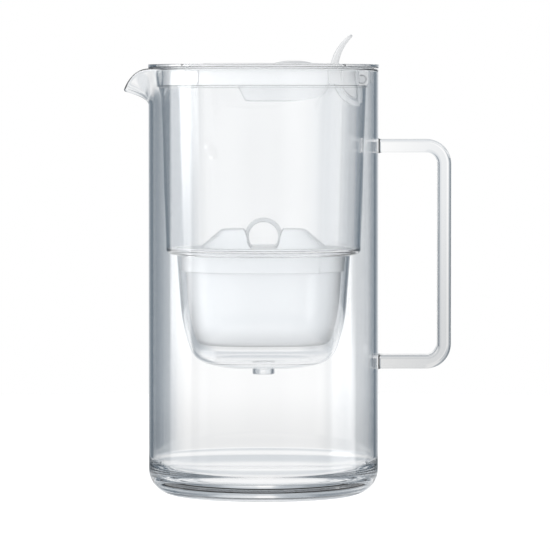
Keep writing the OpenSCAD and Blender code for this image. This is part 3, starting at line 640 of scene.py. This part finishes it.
def jug_points(s):
    """Glass wall round the axis. The upper band leans out by reach * w * t ** 2.1 and its rim dips by
    drop * w ** 3.2, where w is the spout's share at the angle and t the height in the band."""
    around = np.unique(np.round(np.concatenate(
        [np.linspace(0, 360, 240, endpoint=False), np.linspace(150, 210, 121),
         np.linspace(-30, 30, 121) % 360.0]), 6))
    w = spout_share(around - 180.0)[:, None]
    inner_r = s.jug_r - s.glass_wall
    low = s.jug_h - s.spout_h
    foot_r = s.jug_r - s.heel_r
    kick = np.linspace(0, 1, 14)
    under = np.stack([kick * (foot_r - 4.0), s.base_kick * (1 - kick ** 2) ** 1.5], 1)
    outer = np.vstack([
        under, [[foot_r - 0.4, 0.0]], arc(foot_r, s.heel_r, s.heel_r, -90, 0, 32),
        np.linspace([s.jug_r, s.heel_r + 0.6], [s.jug_r, low - 0.5], 6),
    ])
    inner = np.vstack([
        np.linspace([inner_r, low - 0.5], [inner_r, s.base_t + s.inner_heel_r + 0.6], 6),
        arc(inner_r - s.inner_heel_r, s.base_t + s.inner_heel_r, s.inner_heel_r, 0, -90, 28),
        np.linspace([inner_r - s.inner_heel_r - 0.5, s.base_t], [0, s.base_t], 10),
    ])
    t = np.linspace(0, 1, 26)[None]
    reach, rise = s.spout_reach * w, s.spout_h - s.spout_drop * w ** 3.2 - s.glass_wall / 2

    def lip(depth, t):
        slope_r, slope_z = reach * 2.1 * t ** 1.1, rise + 0 * t
        length = np.hypot(slope_r, slope_z)
        return (s.jug_r + reach * t ** 2.1 - depth * slope_z / length,
                low + rise * t + depth * slope_r / length)

    slope_r, slope_z = reach * 2.1, rise
    length = np.hypot(slope_r, slope_z)
    mid_r, mid_z = lip(s.glass_wall / 2, np.ones((1, 1)))
    turn = np.radians(np.linspace(0, 180, 9)[1:-1])[None]
    cap_r = mid_r + s.glass_wall / 2 * (np.sin(turn) * slope_r + np.cos(turn) * slope_z) / length
    cap_z = mid_z + s.glass_wall / 2 * (np.sin(turn) * slope_z - np.cos(turn) * slope_r) / length
    plain = lambda rows: np.broadcast_to(rows.T[:, None], (2, len(around), len(rows)))
    parts = (plain(outer), lip(0.0, t), (cap_r, cap_z), lip(s.glass_wall, t[:, ::-1]), plain(inner))
    r, z = (np.hstack(columns) for columns in zip(*parts))
    a = np.radians(around)[:, None]
    return np.stack([r * np.cos(a), r * np.sin(a), z], -1)


def handle_shape(s):
    """Rounded bar carried along a square bow; its ends follow the glass, x = sqrt(R ** 2 - y ** 2),
    and flare there on a small quarter round, as a weld does."""
    bar = s.handle_bar / 2
    top, low = HANDLE_TOP - bar, HANDLE_LOW + bar
    grip, bend = s.jug_r + HANDLE_REACH - bar, HANDLE_BEND - bar
    root = np.array([0.0, 0.25, 0.6, 1.0, 1.6, 3.0, 8.0])
    path = np.vstack([
        np.stack([s.jug_r + root, np.full(len(root), top)], 1), [[grip - bend - 1.5, top]],
        arc(grip - bend, top - bend, bend, 90, 0, 16), [[grip, top - bend - 1.5]],
        np.linspace([grip, top - bend - 6], [grip, low + bend + 6], 8),
        [[grip, low + bend + 1.5]], arc(grip - bend, low + bend, bend, 0, -90, 16),
        [[grip - bend - 1.5, low]], np.stack([s.jug_r + root[::-1], np.full(len(root), low)], 1),
    ])
    ahead = np.gradient(path, axis=0)
    ahead /= np.hypot(*ahead.T)[:, None]
    normal = np.stack([-ahead[:, 1], ahead[:, 0]], 1)
    corners = np.array([[-1, -1], [1, -1], [1, 1], [-1, 1]]) * [bar, s.handle_w / 2]
    section = rounded(corners, s.handle_edge_r, steps=8)
    gap = np.minimum(path[:, 0] - s.jug_r, WELD_R)
    flare = WELD_R - np.sqrt(np.maximum(WELD_R ** 2 - (WELD_R - gap) ** 2, 0.0))
    flare = np.minimum(flare, WELD_MOST)
    wide = np.stack([offset(section, d) for d in flare])
    x = path[:, None, 0] + normal[:, None, 0] * wide[..., 0]
    z = path[:, None, 1] + normal[:, None, 1] * wide[..., 0]
    y = wide[..., 1]
    near = np.clip(1.0 - (x - s.jug_r) / root[-1], 0.0, 1.0)
    x = x - near * (s.jug_r - np.sqrt(s.jug_r ** 2 - y ** 2)) - np.where(gap < 1e-6, WELD_MOST, 0.0)[:, None]
    return grid(np.stack([x, y, z], -1), False, True, caps=True)


class PITCHER_OT_jug(bpy.types.Operator):
    """Blows the glass: cylinder with thick base and pulled lip, and the handle fused to it"""

    bl_idname = "pitcher.jug"
    bl_label = "Glass jug and handle"

    def execute(self, context):
        s, c = context.scene.pitcher_sizes, context.scene.pitcher_colours
        jug = to_object("glass_jug", grid(jug_points(s), True, False))
        combine(jug, handle_shape(s), "UNION")
        # the bar tint paints shade on the handle, darker than the wall and most low down
        glass = glass_finish("jug glass", c.glass, 1.46, 0.02, 14.0, bar=tint(c.glass, 0.75))
        finish_piece(jug, "jug", ["jug_glass", "handle"], glass)
        return {"FINISHED"}


def funnel_points(s):
    """One closed skin: rows on the round reservoir share their columns with rows on the oval well, so the
    flat floor between them is filled by straight quads."""
    cx, a = oval_columns(STRETCH, **OVAL_COLUMNS)
    wall, w = s.wall, WELL_LOW
    outer = cup_side(w, WELL_R, WELL_DEPTH, WELL_ARCS, 0.0)
    inner = cup_side(w, WELL_R, WELL_DEPTH, WELL_ARCS, wall)
    outer[-1, 1] -= 0.7
    inner[-1] += (FLOOR_TOP - FLOOR_LOW - 0.7) * np.array([0.07, 1.0])
    nozzle = rounded(
        [[4.9, w + wall], [4.9, w - 3.4], [6.2, w - 3.4], [6.2, w], [7.4, w]],
        [0, 0.4, 0.5, 0.5, 0], False, 4)
    bowl = rounded([
        [42.2, FLOOR_LOW], [55.0, FLOOR_LOW], [58.1, COLLAR_LOW], [59.0, COLLAR_LOW],
        [59.0, FLANGE_LOW - 1.6], [62.45, FLANGE_LOW - 1.6], [62.45, FLANGE_LOW], [65.3, FLANGE_LOW],
        [65.3, PARTING_Z - 0.25], [65.0, PARTING_Z], [65.3, PARTING_Z + 0.25], [65.3, FLANGE_TOP],
        [61.0, FLANGE_TOP], [61.0, 241.7], [57.5, 241.7], [57.5, COLLAR_LOW + 1.0],
        [56.6, COLLAR_LOW + 1.0], [53.5, FLOOR_TOP], [42.0, FLOOR_TOP],
    ], [0, 3.0, 0.2, 0.25, 0.4, 0.3, 0.2, 0.35, 0, 0, 0, 0.5, 0.3, 0.15, 0.3, 0.2, 0.2, 1.5, 0], False, 8)
    parts = (
        (nozzle, False), (outer, True), ([[41.9, FLOOR_LOW - 0.12]], True), (bowl[:1], True),
        (bowl[1:-1], False), (bowl[-1:], True), ([[41.0, FLOOR_TOP - 0.12]], True), (inner[::-1], True),
    )
    r, z = np.vstack([rows for rows, _ in parts]).T[:, None]
    on_oval = np.concatenate([np.full(len(rows), is_oval) for rows, is_oval in parts])[None]
    round_a = np.arctan2(WELL_R * np.sin(a), cx + WELL_R * np.cos(a))[:, None]
    cx, a = cx[:, None], a[:, None]
    x = np.where(on_oval, cx + r * np.cos(a), r * np.cos(round_a))
    y = np.where(on_oval, r * np.sin(a), r * np.sin(round_a))
    return np.stack([x, y, z + 0 * a], -1)


class PITCHER_OT_funnel(bpy.types.Operator):
    """Moulds the clear funnel: flange, collar, reservoir, oval cartridge well and drip nozzle"""

    bl_idname = "pitcher.funnel"
    bl_label = "Funnel"

    def execute(self, context):
        s, c = context.scene.pitcher_sizes, context.scene.pitcher_colours
        funnel = to_object("clear_funnel", grid(funnel_points(s)))
        cut(funnel, box((48.0, -10.0, 230.4), (59.6, 10.0, 250.0)))
        cut(funnel, box((50.0, -26.0, 231.4), (59.6, 26.0, 239.3)))
        nick = box((60.5, -3.05, 241.7), (63.2, 3.05, 245.0))
        cut(funnel, joined([turned(nick, angle) for angle in TONGUE_ANGLES]))
        tab = rounded([[60.55, 232.8], [62.35, 232.8], [62.35, 241.4], [60.55, 241.4]], 0.5)
        add_islands(funnel, slab(tab, -4.15, 4.15, 0.4))
        # painted shade: a thin darker line in the flange's parting groove
        painted_groove_shade = line_round(64.8, 64.9, PARTING_Z, 0.2, 0.28)
        clear = glass_finish("clear moulding", c.clear, 1.52, 0.012, 30.0, deeper=(painted_groove_shade, 0.35))
        finish_piece(funnel, "funnel", ["funnel"], clear)
        return {"FINISHED"}


class PITCHER_OT_lid(bpy.types.Operator):
    """Moulds the white lid: plate, ledge of the opening, skirt with snap tongues, hinge lugs and guide"""

    bl_idname = "pitcher.lid"
    bl_label = "Lid and hinge pin"

    def execute(self, context):
        c = context.scene.pitcher_colours
        plate = rounded([
            [34.75, 243.4], [60.65, 243.4], [60.65, 242.0], [57.15, 242.0], [57.15, SKIRT_LOW],
            [55.75, SKIRT_LOW], [55.75, 242.0], [36.85, 242.0], [36.85, 240.4], [32.65, 240.4],
            [32.65, 241.9], [34.75, 241.9],
        ], [0.3, 0.35, 0.3, 0.4, 0.25, 0.25, 0.8, 0.8, 0.4, 0.4, 0.3, 0.15], steps=5)
        lid = to_object("lid_cover_white", revolve(plate))
        half, low = 4.4, SKIRT_LOW
        around = np.vstack([
            [[-half - 0.8, low - 1.0], [half + 0.8, low - 1.0], [half + 0.8, low + 7.8], [half, low + 7.8]],
            arc(half - 1.8, low + 2.4, 1.8, 0, -90, 8), arc(1.8 - half, low + 2.4, 1.8, -90, -180, 8),
            [[-half, low + 7.8], [-half - 0.8, low + 7.8]],
        ])
        gap = slab(around, -2.0, 2.0, 0.0, "XZ", 1)
        for angle in TONGUE_ANGLES:
            cut(lid, turned(moved(turned(gap, 90.0), 56.5), angle))
        cut(lid, box((43.2, -80.0, 220.0), (80.0, 80.0, 242.0)))
        cut(lid, box((0.0, -14.95, 239.0), (46.2, 14.95, 250.0)))
        lug = HINGE + np.vstack([[[-3.6, 7.2]], arc(0, -0.7, 3.6, 180, 360, 20), [[3.6, 7.2]]])
        guide = HINGE + np.vstack([[[-8.7, 7.1]], arc(0, 0, 11.3, 142.5, 256.4, 30), [[-2.65, 7.1]]])
        add_islands(lid, slab(lug, 6.2, 9.2) + slab(lug, -9.2, -6.2) + slab(guide, -3.1, 3.1, 0.5))
        bore = circle(*HINGE, 2.6, 48)
        for low, high in ((-9.5, -7.4), (7.4, 9.5)):
            cut(lid, slab(bore, low, high, 0.0, "XZ", 1))
        # painted shade: a thin darker line round the lid's edge, where it meets the flange
        painted_seam_shade = line_round(60.2, 60.4, LID_SEAM_Z, 0.18, 0.28)
        white = moulded_finish("lid plastic", c.white, 0.34, rim=0.93, deeper=(painted_seam_shade, 0.4))
        finish_piece(lid, "lid", ["lid_cover"], white)
        pin = to_object("hinge_pin_white", slab(circle(*HINGE, 2.15, 48), -9.35, 9.35, 0.35))
        finish_piece(pin, "lid", ["hinge_pin"],
                     moulded_finish("pin plastic", tint(c.lever, 0.85), 0.3))
        return {"FINISHED"}


def tab_shape():
    """Thumb blade: a rounded oblong section carried along an arc that leans back, thinning to its tip."""
    r, length, lean, x0, top = 27.0, 19.0, math.radians(11.0), 40.3, 244.0
    turn = length / r
    share = np.concatenate([[-0.06], np.linspace(0, 1, 40)])
    a = lean + turn * share
    centre = np.array([x0 + r * math.cos(lean), top - r * math.sin(lean)])
    out = np.stack([-np.cos(a), np.sin(a)], 1)
    left = np.clip((share - 0.86) / 0.14, 0, 1)
    crown = np.sqrt(np.maximum(1 - left ** 2, 0.0))
    half_t = (2.1 - 1.2 * np.clip(share, 0, 1)) * (0.35 + 0.65 * crown)
    half_w = 11.0 - 4.5 * (1 - crown) - 0.6 * np.clip(share, 0, 1)
    corner = np.linspace(0, math.pi / 2, 7)
    cos, sin = np.cos(corner), np.sin(corner)
    quarter = np.minimum(half_t * 0.85, 1.1)[:, None]
    u = half_t[:, None] - quarter * (1 - cos)
    v = half_w[:, None] - quarter * (1 - sin)
    ring_u = np.hstack([u, -u[:, ::-1], -u, u[:, ::-1]])
    ring_v = np.hstack([v, v[:, ::-1], -v, -v[:, ::-1]])
    x = centre[0] + (r + ring_u) * out[:, :1]
    z = centre[1] + (r + ring_u) * out[:, 1:]
    return grid(np.stack([x, ring_v, z], -1), False, True, caps=True)


class PITCHER_OT_flap(bpy.types.Operator):
    """Moulds the fill flap and the thumb lever with its gooseneck arm"""

    bl_idname = "pitcher.flap"
    bl_label = "Fill flap and thumb lever"

    def execute(self, context):
        c = context.scene.pitcher_colours
        outline = np.vstack([
            arc(0, 0, 34.4, 25.11, 334.89, 120),
            rounded([[33.0, -14.6], [42.95, -14.6], [42.95, 14.6], [33.0, 14.6]],
                    [0, 1.2, 1.2, 0], False, 5),
        ])
        flap = to_object("fill_flap", slab(outline, 242.2, 244.0, 0.45, "XY"))
        hole = circle(LENS_X, 0.0, 9.35, 64)
        cut(flap, slab(hole, 241.0, 246.0, 0.0, "XY", 1))
        finish_piece(flap, "flap", ["flap_panel"],
                     moulded_finish("flap plastic", tint(c.white, 0.95), 0.3, rim=0.8))
        arm = HINGE + np.vstack([arc(0, 0, 15.4, 147, 266, 48), arc(0, 0, 12.8, 266, 147, 48)])
        leg = HINGE + np.vstack([[[-2.1, -13.6], [0.3, -13.6]], arc(0, 0, 3.4, -82, 231, 30)])
        foot = np.array([[38.2, 240.4], [43.6, 240.4], [43.0, 242.25], [38.2, 242.25]])
        lever = to_object("thumb_lever_white", tab_shape())
        add_islands(lever, joined([
            slab(arm, -5.9, 5.9, 0.5), slab(leg, 3.4, 5.9, 0.35), slab(leg, -5.9, -3.4, 0.35),
            slab(rounded(foot, 0.3), -11.0, 11.0, 0.3)]))
        finish_piece(lever, "flap", ["thumb_lever"],
                     moulded_finish("lever plastic", c.lever, 0.32, rim=0.78, turn=(0.6, 0.98)))
        return {"FINISHED"}


class PITCHER_OT_indicator(bpy.types.Operator):
    """Moulds the indicator pod under the flap, its domed lens and the reset button"""

    bl_idname = "pitcher.indicator"
    bl_label = "Change indicator"

    def execute(self, context):
        c = context.scene.pitcher_colours
        pod_x, pod_s, pod_r, low, top, wall = 11.55, 10.05, 16.0, 222.5, 241.2, 1.4
        bow_x, bow_r = 12.05, 70.0

        def skin(inset):
            side = cup_side(low, pod_r, 8.2, POD_ARCS, inset, 12)
            floor = np.linspace([0, side[0, 1]], side[0], 8)[:-1]
            r = pod_r - inset
            rows = np.vstack([floor, side, [[r, low + 9.0], [r, top - 0.4], [r, top]]])
            points = oval_points(rows, pod_s, pod_x, n=60, run=16)
            bend = np.maximum(points[..., 0] - bow_x, 0.0)
            rise = low + inset + (bow_r - inset) - np.sqrt((bow_r - inset) ** 2 - bend ** 2)
            points[..., 2] = np.maximum(points[..., 2], rise)
            return points

        points = np.concatenate([skin(0.0), skin(wall)[:, ::-1]], 1)
        pod = to_object("indicator_pod", grid(points, True, False))
        # painted shade: the pod is darker along its bottom, below 223.4 mm
        white = moulded_finish("pod plastic", c.white, 0.22, grain=700.0, deeper=(below(222.9, 223.4), 0.8))
        finish_piece(pod, "flap", ["pod_shell"], white)
        dome_r, dome_h, dome_top = 10.5, 1.5, 245.8
        ball_r = (dome_r ** 2 + dome_h ** 2) / (2.0 * dome_h)

        def on_ball(x):
            return np.stack([x, dome_top - ball_r + np.sqrt(ball_r ** 2 - x ** 2)], 1)

        dome = on_ball(np.linspace(10.3, 5.75, 14))
        lens_rows = np.vstack([
            [[9.3, 242.2], [9.3, 244.0], [10.4, 244.0], [dome_r, 244.12]], dome,
            [[5.7, dome[-1, 1] - 0.08], [5.7, 244.0], [7.6, 244.0], [7.6, 242.2]],
        ])
        lens = to_object("indicator_lens_dome", revolve(lens_rows, LENS_X, n=120))
        finish_piece(lens, "flap", ["indicator_lens"],
                     moulded_finish("lens plastic", c.lens, 0.18, 0.1, 1200.0, 0.02, 0.92))
        crown = on_ball(np.linspace(5.2, 0.0, 12))
        crown[:, 1] -= 0.35 * (1 - (crown[:, 0] / 5.2) ** 2) ** 2
        button_rows = np.vstack([
            [[0.0, 240.9], [2.0, 240.9], [2.0, 242.9], [7.3, 242.9], [7.3, 243.7], [5.4, 243.7],
             [5.4, crown[0, 1] - 0.2]], crown,
        ])
        button = to_object("reset_button_cap", revolve(button_rows, LENS_X, False, 96))
        finish_piece(button, "button", ["reset_button"],
                     moulded_finish("button plastic", tint(c.lever, 0.96), 0.4))
        return {"FINISHED"}


def bucket_points(s):
    """Bucket skin: cup side, collar with a key recess at one end, and the inside again."""
    low, r, depth, step = 85.0, 36.08, 41.6, 126.6
    collar_r, rim, key_x, key_depth = 38.58, 138.8, 30.9, 0.8
    outer = cup_side(low, r, depth, BUCKET_ARCS, 0.0, 14)
    inner = cup_side(low, r, depth, BUCKET_ARCS, s.shell, 14)
    floor_out = np.linspace([0, low], [outer[0, 0], low], 8)[:-1]
    floor_in = np.linspace([inner[0, 0], low + s.shell], [0, low + s.shell], 8)[1:]
    collar = rounded([
        [r, step], [collar_r, step], [collar_r, rim], [37.18, rim], [37.18, step + s.shell],
        [36.0 - s.shell, step + s.shell]], [0, 0.5, 0.4, 0.4, 0.5, 0], False, 5)
    rows = np.vstack([floor_out, outer[:-1], collar, inner[::-1][1:], floor_in])
    points = oval_points(rows, STRETCH, **OVAL_COLUMNS)
    _, a = oval_columns(STRETCH, **OVAL_COLUMNS)
    end = np.clip((points[..., 0] - key_x) / 0.3, 0, 1)
    band = (rows[:, 1] > step - 0.2) & (rows[:, 1] < 136.0) & (rows[:, 0] > 37.6)
    dent = np.where(band[None], end, 0.0) * key_depth
    points[..., 0] -= dent * np.cos(a)[:, None]
    points[..., 1] -= dent * np.sin(a)[:, None]
    return points


def hump_rows(inset):
    """Half profile of the cap's humps from the end of their leaning side: an arc over to the level top."""
    centre_z = HUMP_TOP - HUMP_R
    centre_r = HUMP_FOOT_R - (HUMP_R + (centre_z - CAP_TOP) * math.cos(HUMP_LEAN)) / math.sin(HUMP_LEAN)
    return np.vstack([arc(centre_r, centre_z, HUMP_R - inset, 50, 90, 12), [[0.0, HUMP_TOP - inset]]])


def valley_outline(grow):
    """Section of the valley along Y: a round trough that opens upwards, level at the bottom."""
    r, low = 9.3 + grow, CAP_TOP - grow
    side = math.degrees(math.asin((low - RING_Z) / r))
    lip = np.array([[r + 0.8, 148.2], [r + 1.5, 149.7], [r + 3.2, 151.6], [r + 3.2, 160.0]])
    right = np.vstack([arc(0, RING_Z, r, side, 0, 20), lip])
    left = right[::-1] * np.array([-1.0, 1.0])
    return np.vstack([left, right])


class PITCHER_OT_cartridge(bpy.types.Operator):
    """Moulds the filter cartridge: bucket with feet and slots, cap with humps, valley and pull ring"""

    bl_idname = "pitcher.cartridge"
    bl_label = "Filter cartridge"

    def execute(self, context):
        s, c = context.scene.pitcher_sizes, context.scene.pitcher_colours
        bucket = to_object("filter_bucket", grid(bucket_points(s), True, False))
        slot = box((-0.8, -9.0, 84.0), (0.8, 9.0, 87.0))
        cut(bucket, joined([moved(slot, x) for x in (0.0, -12.0, -6.0, 6.0, 12.0)]))
        foot = rounded([[0.0, 83.7], [1.6, 83.7], [1.6, 85.6], [0.0, 85.6]], [0, 0.4, 0, 0], False)
        add_islands(bucket, revolve(foot, 21.2, False, 32) + revolve(foot, -21.2, False, 32))
        # painted shade: the bucket is darker towards the bottom, up to 97.5 mm
        milky = moulded_finish("filter plastic", c.filter, 0.2, grain=800.0, relief=0.03, rim=0.66,
                               turn=(0.25, 0.9), deeper=(below(84.0, 97.5), 0.7))
        finish_piece(bucket, "cartridge", ["cartridge_bucket"], milky)
        flange = rounded([[0.0, 138.8], [41.4, 138.8], [41.4, CAP_TOP], [HUMP_FOOT_R, CAP_TOP]],
                         [0, 0.35, 0.35, 0], False, 4)
        rise = [[HUMP_FOOT_R + 0.5, CAP_TOP], [HUMP_FOOT_R - 0.35, CAP_TOP + 0.35]]
        rows = np.vstack([flange[:-1], rise, hump_rows(0.0)])
        cap = to_object("filter_cap", oval(rows, STRETCH, closed=False, **CAP_COLUMNS))
        plug = rounded([[35.73, 136.6], [37.13, 136.6], [37.13, 139.2], [35.73, 139.2]], 0.3)
        combine(cap, oval(plug, STRETCH, **CAP_COLUMNS), "UNION")
        cut(cap, slab(valley_outline(0.0), -60.0, 60.0, 0.0, "XZ", 1))
        foot_r = HUMP_FOOT_R + 1.6 / math.tan(HUMP_LEAN) - s.shell / math.sin(HUMP_LEAN)
        rows = np.vstack([[[0.0, 138.3], [foot_r, 138.3]], hump_rows(s.shell)])
        hollow = to_object("hollow", oval(rows, STRETCH, closed=False, **CAP_COLUMNS))
        cut(hollow, slab(valley_outline(s.shell), -60.0, 60.0, 0.0, "XZ", 1))
        cut(cap, to_shape(hollow))
        slot = box((-4.5, -0.6, 140.9), (4.5, 0.6, 152.0))
        slots = [moved(slot, end * 28.8, k * 3.4) for end in (-1, 1) for k in range(-3, 4)]
        cut(cap, joined(slots))
        a = np.radians(np.linspace(0, 360, 120, endpoint=False))[:, None]
        section = rounded([[8.3, -1.7], [10.8, -1.7], [10.8, 1.7], [8.3, 1.7]], 0.6)
        q, y = section.T[:, None]
        ring = to_object("ring", grid(np.stack([q * np.cos(a), y + 0 * a, RING_Z + q * np.sin(a)], -1)))
        cut(ring, box((-30, -30, 120), (30, 30, 139.5)))
        combine(cap, to_shape(ring), "UNION")
        pale = moulded_finish("cap plastic", c.cap, 0.3, grain=800.0, relief=0.02, rim=0.8,
                              turn=(0.55, 0.95), deeper=(pull_ring, 0.78))
        finish_piece(cap, "cartridge", ["cartridge_cap"], pale)
        return {"FINISHED"}


class PITCHER_OT_inner(bpy.types.Operator):
    """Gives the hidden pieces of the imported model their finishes"""

    bl_idname = "pitcher.inner"
    bl_label = "Inner pieces"

    def execute(self, context):
        c = context.scene.pitcher_colours
        mesh = mesh_finish("screen mesh", (0.85, 0.85, 0.84), 300.0)
        finishes = {
            "pod_gasket": moulded_finish("seal rubber", (0.72, 0.72, 0.71), 0.6, 0.0, 500.0, 0.1),
            "light_guide": moulded_finish("guide plastic", c.lens, 0.15, 0.6, 1200.0, 0.02),
            "circuit_board": board_finish("board resist", (0.05, 0.22, 0.10)),
            "tact_switch": moulded_finish("switch plastic", (0.05, 0.05, 0.05), 0.45),
            "status_leds": moulded_finish("lamp resin", (0.85, 0.83, 0.70), 0.2),
            "coin_cell": metal_finish("cell steel", (0.65, 0.65, 0.66), 0.25, (3000.0, 40.0, 40.0)),
            "cell_clip": metal_finish("clip strip", (0.70, 0.60, 0.38), 0.3, (40.0, 3000.0, 40.0)),
            "inlet_screen": mesh, "outlet_screen": mesh,
            "filter_media": granule_finish("resin granules", (0.74, 0.73, 0.70), 900.0),
        }
        for name, finish in finishes.items():
            dress(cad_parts[name], finish)
        return {"FINISHED"}


# Brightness of the studio's upright panels by the angle from straight behind the object to the right
PANELS = (
    (-180, 0.95), (-123, 0.95), (-120, 1.3), (-113, 1.3), (-110, 0.85), (-103, 0.85), (-71, 0.13),
    (-40, 0.17), (-18, 0.22), (-13, 0.46), (-9, 0.45), (-7, 0.5), (-5, 0.6), (-4, 0.74), (-3.4, 0.88),
    (-2.8, 1.0), (1.4, 1.0), (2.1, 0.88), (3.2, 0.77), (4.5, 0.85), (6.5, 0.78), (9, 0.76), (14, 0.62),
    (18, 0.31), (30, 0.15), (73, 0.1), (103, 0.7), (125, 1.1), (150, 1.25), (165, 0.95), (180, 0.95),
)


def cool(level):
    """Grey of a brightness, cooler where it is dark."""
    shift = 0.036 * min(1.0, max(0.0, (1.0 - level) / 0.35))
    return (level - shift, level, level + shift)


def studio_world():
    """Studio tent: white to the camera, even light for matt surfaces, upright panels for glass and gloss.

    The panels follow the direction's angle about Z: white straight behind the object, darker beyond, and
    pale grey in front. A first reflection also sees a tall softbox on the left, a faint one on the right
    that is bright low down, and, through jug and funnel, two low strips for the cartridge. High and low
    directions are grey, and a faint band lies where the backdrop meets the floor. Matt pieces behind
    glass get back the light that the glass faces turn away, so their colours render as written."""
    w = Shader(bpy.data.worlds.new("studio tent"))
    bpy.context.scene.world = w.owner
    path = lambda name: w.node("ShaderNodeLightPath", out=name)
    x, y, z = w.axes(w.node("ShaderNodeTexCoord", out="Generated"))
    down = -z
    right = x.math("ARCTAN2", x, y) * (180.0 / math.pi)
    left = -right
    stops = [((angle + 180.0) / 360.0, cool(level)) for angle, level in PANELS]
    panel = w.node("ShaderNodeValToRGB", {"stops": stops}, Fac=(right + 180.0) / 360.0)
    glass_faces = path("Transmission Depth")
    through_funnel = w.between(glass_faces, 6.5, 7.5)
    once = w.under(path("Glossy Depth"), 1.5, 2.5)
    tall_box = w.blend(through_funnel, grey(3.5), grey(1.9))
    tall_box = w.blend(w.between(down, 0.05, 0.075), tall_box, grey(1.4))
    low_front = w.between(down, 0.045, 0.065) * w.under(glass_faces, 2.5, 3.5)
    side_box = w.blend(low_front, grey(0.6), grey(2.5))
    beside = w.within(abs(right), 50.0, 70.0, 115.0, 130.0) * w.within(down, 0.12, 0.17, 0.4, 0.5)
    under_lip = w.within(left, 11.0, 15.0, 40.0, 50.0) * w.within(down, 0.2, 0.26, 0.56, 0.64)
    floor_band = 0.14 * w.within(down, 0.068, 0.083, 0.09, 0.098)
    beneath = once * through_funnel * w.within(down, 0.1, 0.13, 0.36, 0.44)
    for share, light in (
        (once * w.within(left, 71.5, 72.5, 101.0, 103.0), tall_box),
        (once * w.within(right, 73.0, 75.0, 104.0, 112.0), side_box),
        (w.between(z, 0.3, 0.6), cool(0.5)),
        (w.between(down, 0.1, 0.13), cool(0.75)),
        (w.between(down, 0.15, 0.2), cool(0.97)),
        (w.within(down, 0.26, 0.32, 0.38, 0.46), cool(0.72)),
        (beside, cool(0.45)),
        (under_lip, cool(0.38)),
        (floor_band, grey(0.0)),
        (beneath * w.within(left, 75.0, 79.0, 108.0, 122.0), grey(2.3)),
        (beneath * w.within(right, 103.0, 106.0, 121.0, 128.0), grey(4.5)),
    ):
        panel = w.blend(share, panel, light)
    seen = w.blend(path("Is Camera Ray"), panel, grey(1.0))
    above = w.blend(w.between(z, -0.6, 0.1), (0.66, 0.67, 0.68), (1.02, 1.022, 1.024))
    above = w.blend(w.between(z, 0.1, 0.9), above, grey(0.88))
    even = w.blend(w.between(x, -0.6, 0.95, 0.0, 0.42), above, (0.21, 0.22, 0.23))
    scattered = w.between(path("Diffuse Depth"), 0.4, 0.6)
    behind_glass = scattered * w.between(glass_faces, 0.5, 1.5)
    w.surface(w.node(
        "ShaderNodeBackground", Color=w.blend(scattered, seen, even), Strength=1.0 + 0.46 * behind_glass))


# Camera in metres: its place beside the axis, before and above the base, and the height it looks at
EYE_X, EYE_FAR, EYE_Z, AIM_Z = 0.0065, 2.38, 0.226, 0.1242


class PITCHER_OT_stage(bpy.types.Operator):
    """Sets the pale floor, the studio light and the camera"""

    bl_idname = "pitcher.stage"
    bl_label = "Stage"

    def execute(self, context):
        scene = context.scene
        rings = [[0.0, -0.05], [200.0, -0.05], [450.0, -0.05], [800.0, -0.05]]
        floor = to_object("floor", revolve(rings, closed=False, n=96))
        m = new_shader("floor paper")
        grain = m.noise(60.0, 3.0)
        paper = m.node("ShaderNodeBsdfDiffuse", Color=m.blend(grain, grey(0.90), grey(0.92)))
        ray = m.node("ShaderNodeLightPath", out="Is Diffuse Ray")
        glow = m.node("ShaderNodeEmission", Color=grey(1.0), Strength=0.3 * (1.0 - ray))
        m.surface(m.node("ShaderNodeAddShader", in_0=paper, in_1=glow))
        dress(floor, m.owner)
        floor.visible_transmission = floor.visible_glossy = False
        studio_world()
        lamp = bpy.data.lights.new("softbox", "AREA")
        lamp.energy, lamp.size, lamp.shape = 3.0, 1.4, "DISK"
        key = add_object("softbox", lamp)
        key.location = (-1.1, -1.3, 1.7)
        key.rotation_euler = (math.radians(48), 0.0, math.radians(-40))
        key.visible_glossy = key.visible_transmission = key.visible_camera = False
        camera = bpy.data.cameras.new("camera")
        camera.lens, camera.sensor_width = 275.1, 36.0
        eye = add_object("camera", camera)
        eye.location = (EYE_X, -EYE_FAR, EYE_Z)
        eye.rotation_euler = (math.radians(90.0) - math.atan2(EYE_Z - AIM_Z, EYE_FAR), 0.0, 0.0)
        scene.camera = eye
        scene.view_settings.view_transform = "Standard"
        cycles = scene.cycles
        cycles.max_bounces = cycles.transmission_bounces = 48
        cycles.glossy_bounces, cycles.transparent_max_bounces = 20, 16
        cycles.blur_glossy = 0.0
        return {"FINISHED"}


class PITCHER_PT_panel(bpy.types.Panel):
    """Lists the steps that build the pitcher"""

    bl_idname = "PITCHER_PT_panel"
    bl_label = "Water Filter Pitcher"
    bl_space_type = "VIEW_3D"
    bl_region_type = "UI"
    bl_category = "Pitcher"

    def draw(self, context):
        for step in STEPS:
            self.layout.operator(step.bl_idname)


STEPS = (
    PITCHER_OT_jug, PITCHER_OT_funnel, PITCHER_OT_lid, PITCHER_OT_flap, PITCHER_OT_indicator,
    PITCHER_OT_cartridge, PITCHER_OT_inner, PITCHER_OT_stage,
)
CLASSES = (PitcherSizes, PitcherColours, *STEPS, PITCHER_PT_panel)


def register():
    for item in CLASSES:
        bpy.utils.register_class(item)
    bpy.types.Scene.pitcher_sizes = PointerProperty(type=PitcherSizes)
    bpy.types.Scene.pitcher_colours = PointerProperty(type=PitcherColours)


def unregister():
    del bpy.types.Scene.pitcher_colours
    del bpy.types.Scene.pitcher_sizes
    for item in reversed(CLASSES):
        bpy.utils.unregister_class(item)


def main():
    register()
    for step in (
        bpy.ops.pitcher.jug, bpy.ops.pitcher.funnel, bpy.ops.pitcher.lid, bpy.ops.pitcher.flap,
        bpy.ops.pitcher.indicator, bpy.ops.pitcher.cartridge, bpy.ops.pitcher.inner, bpy.ops.pitcher.stage,
    ):
        step()


if __name__ == "__main__":
    main()
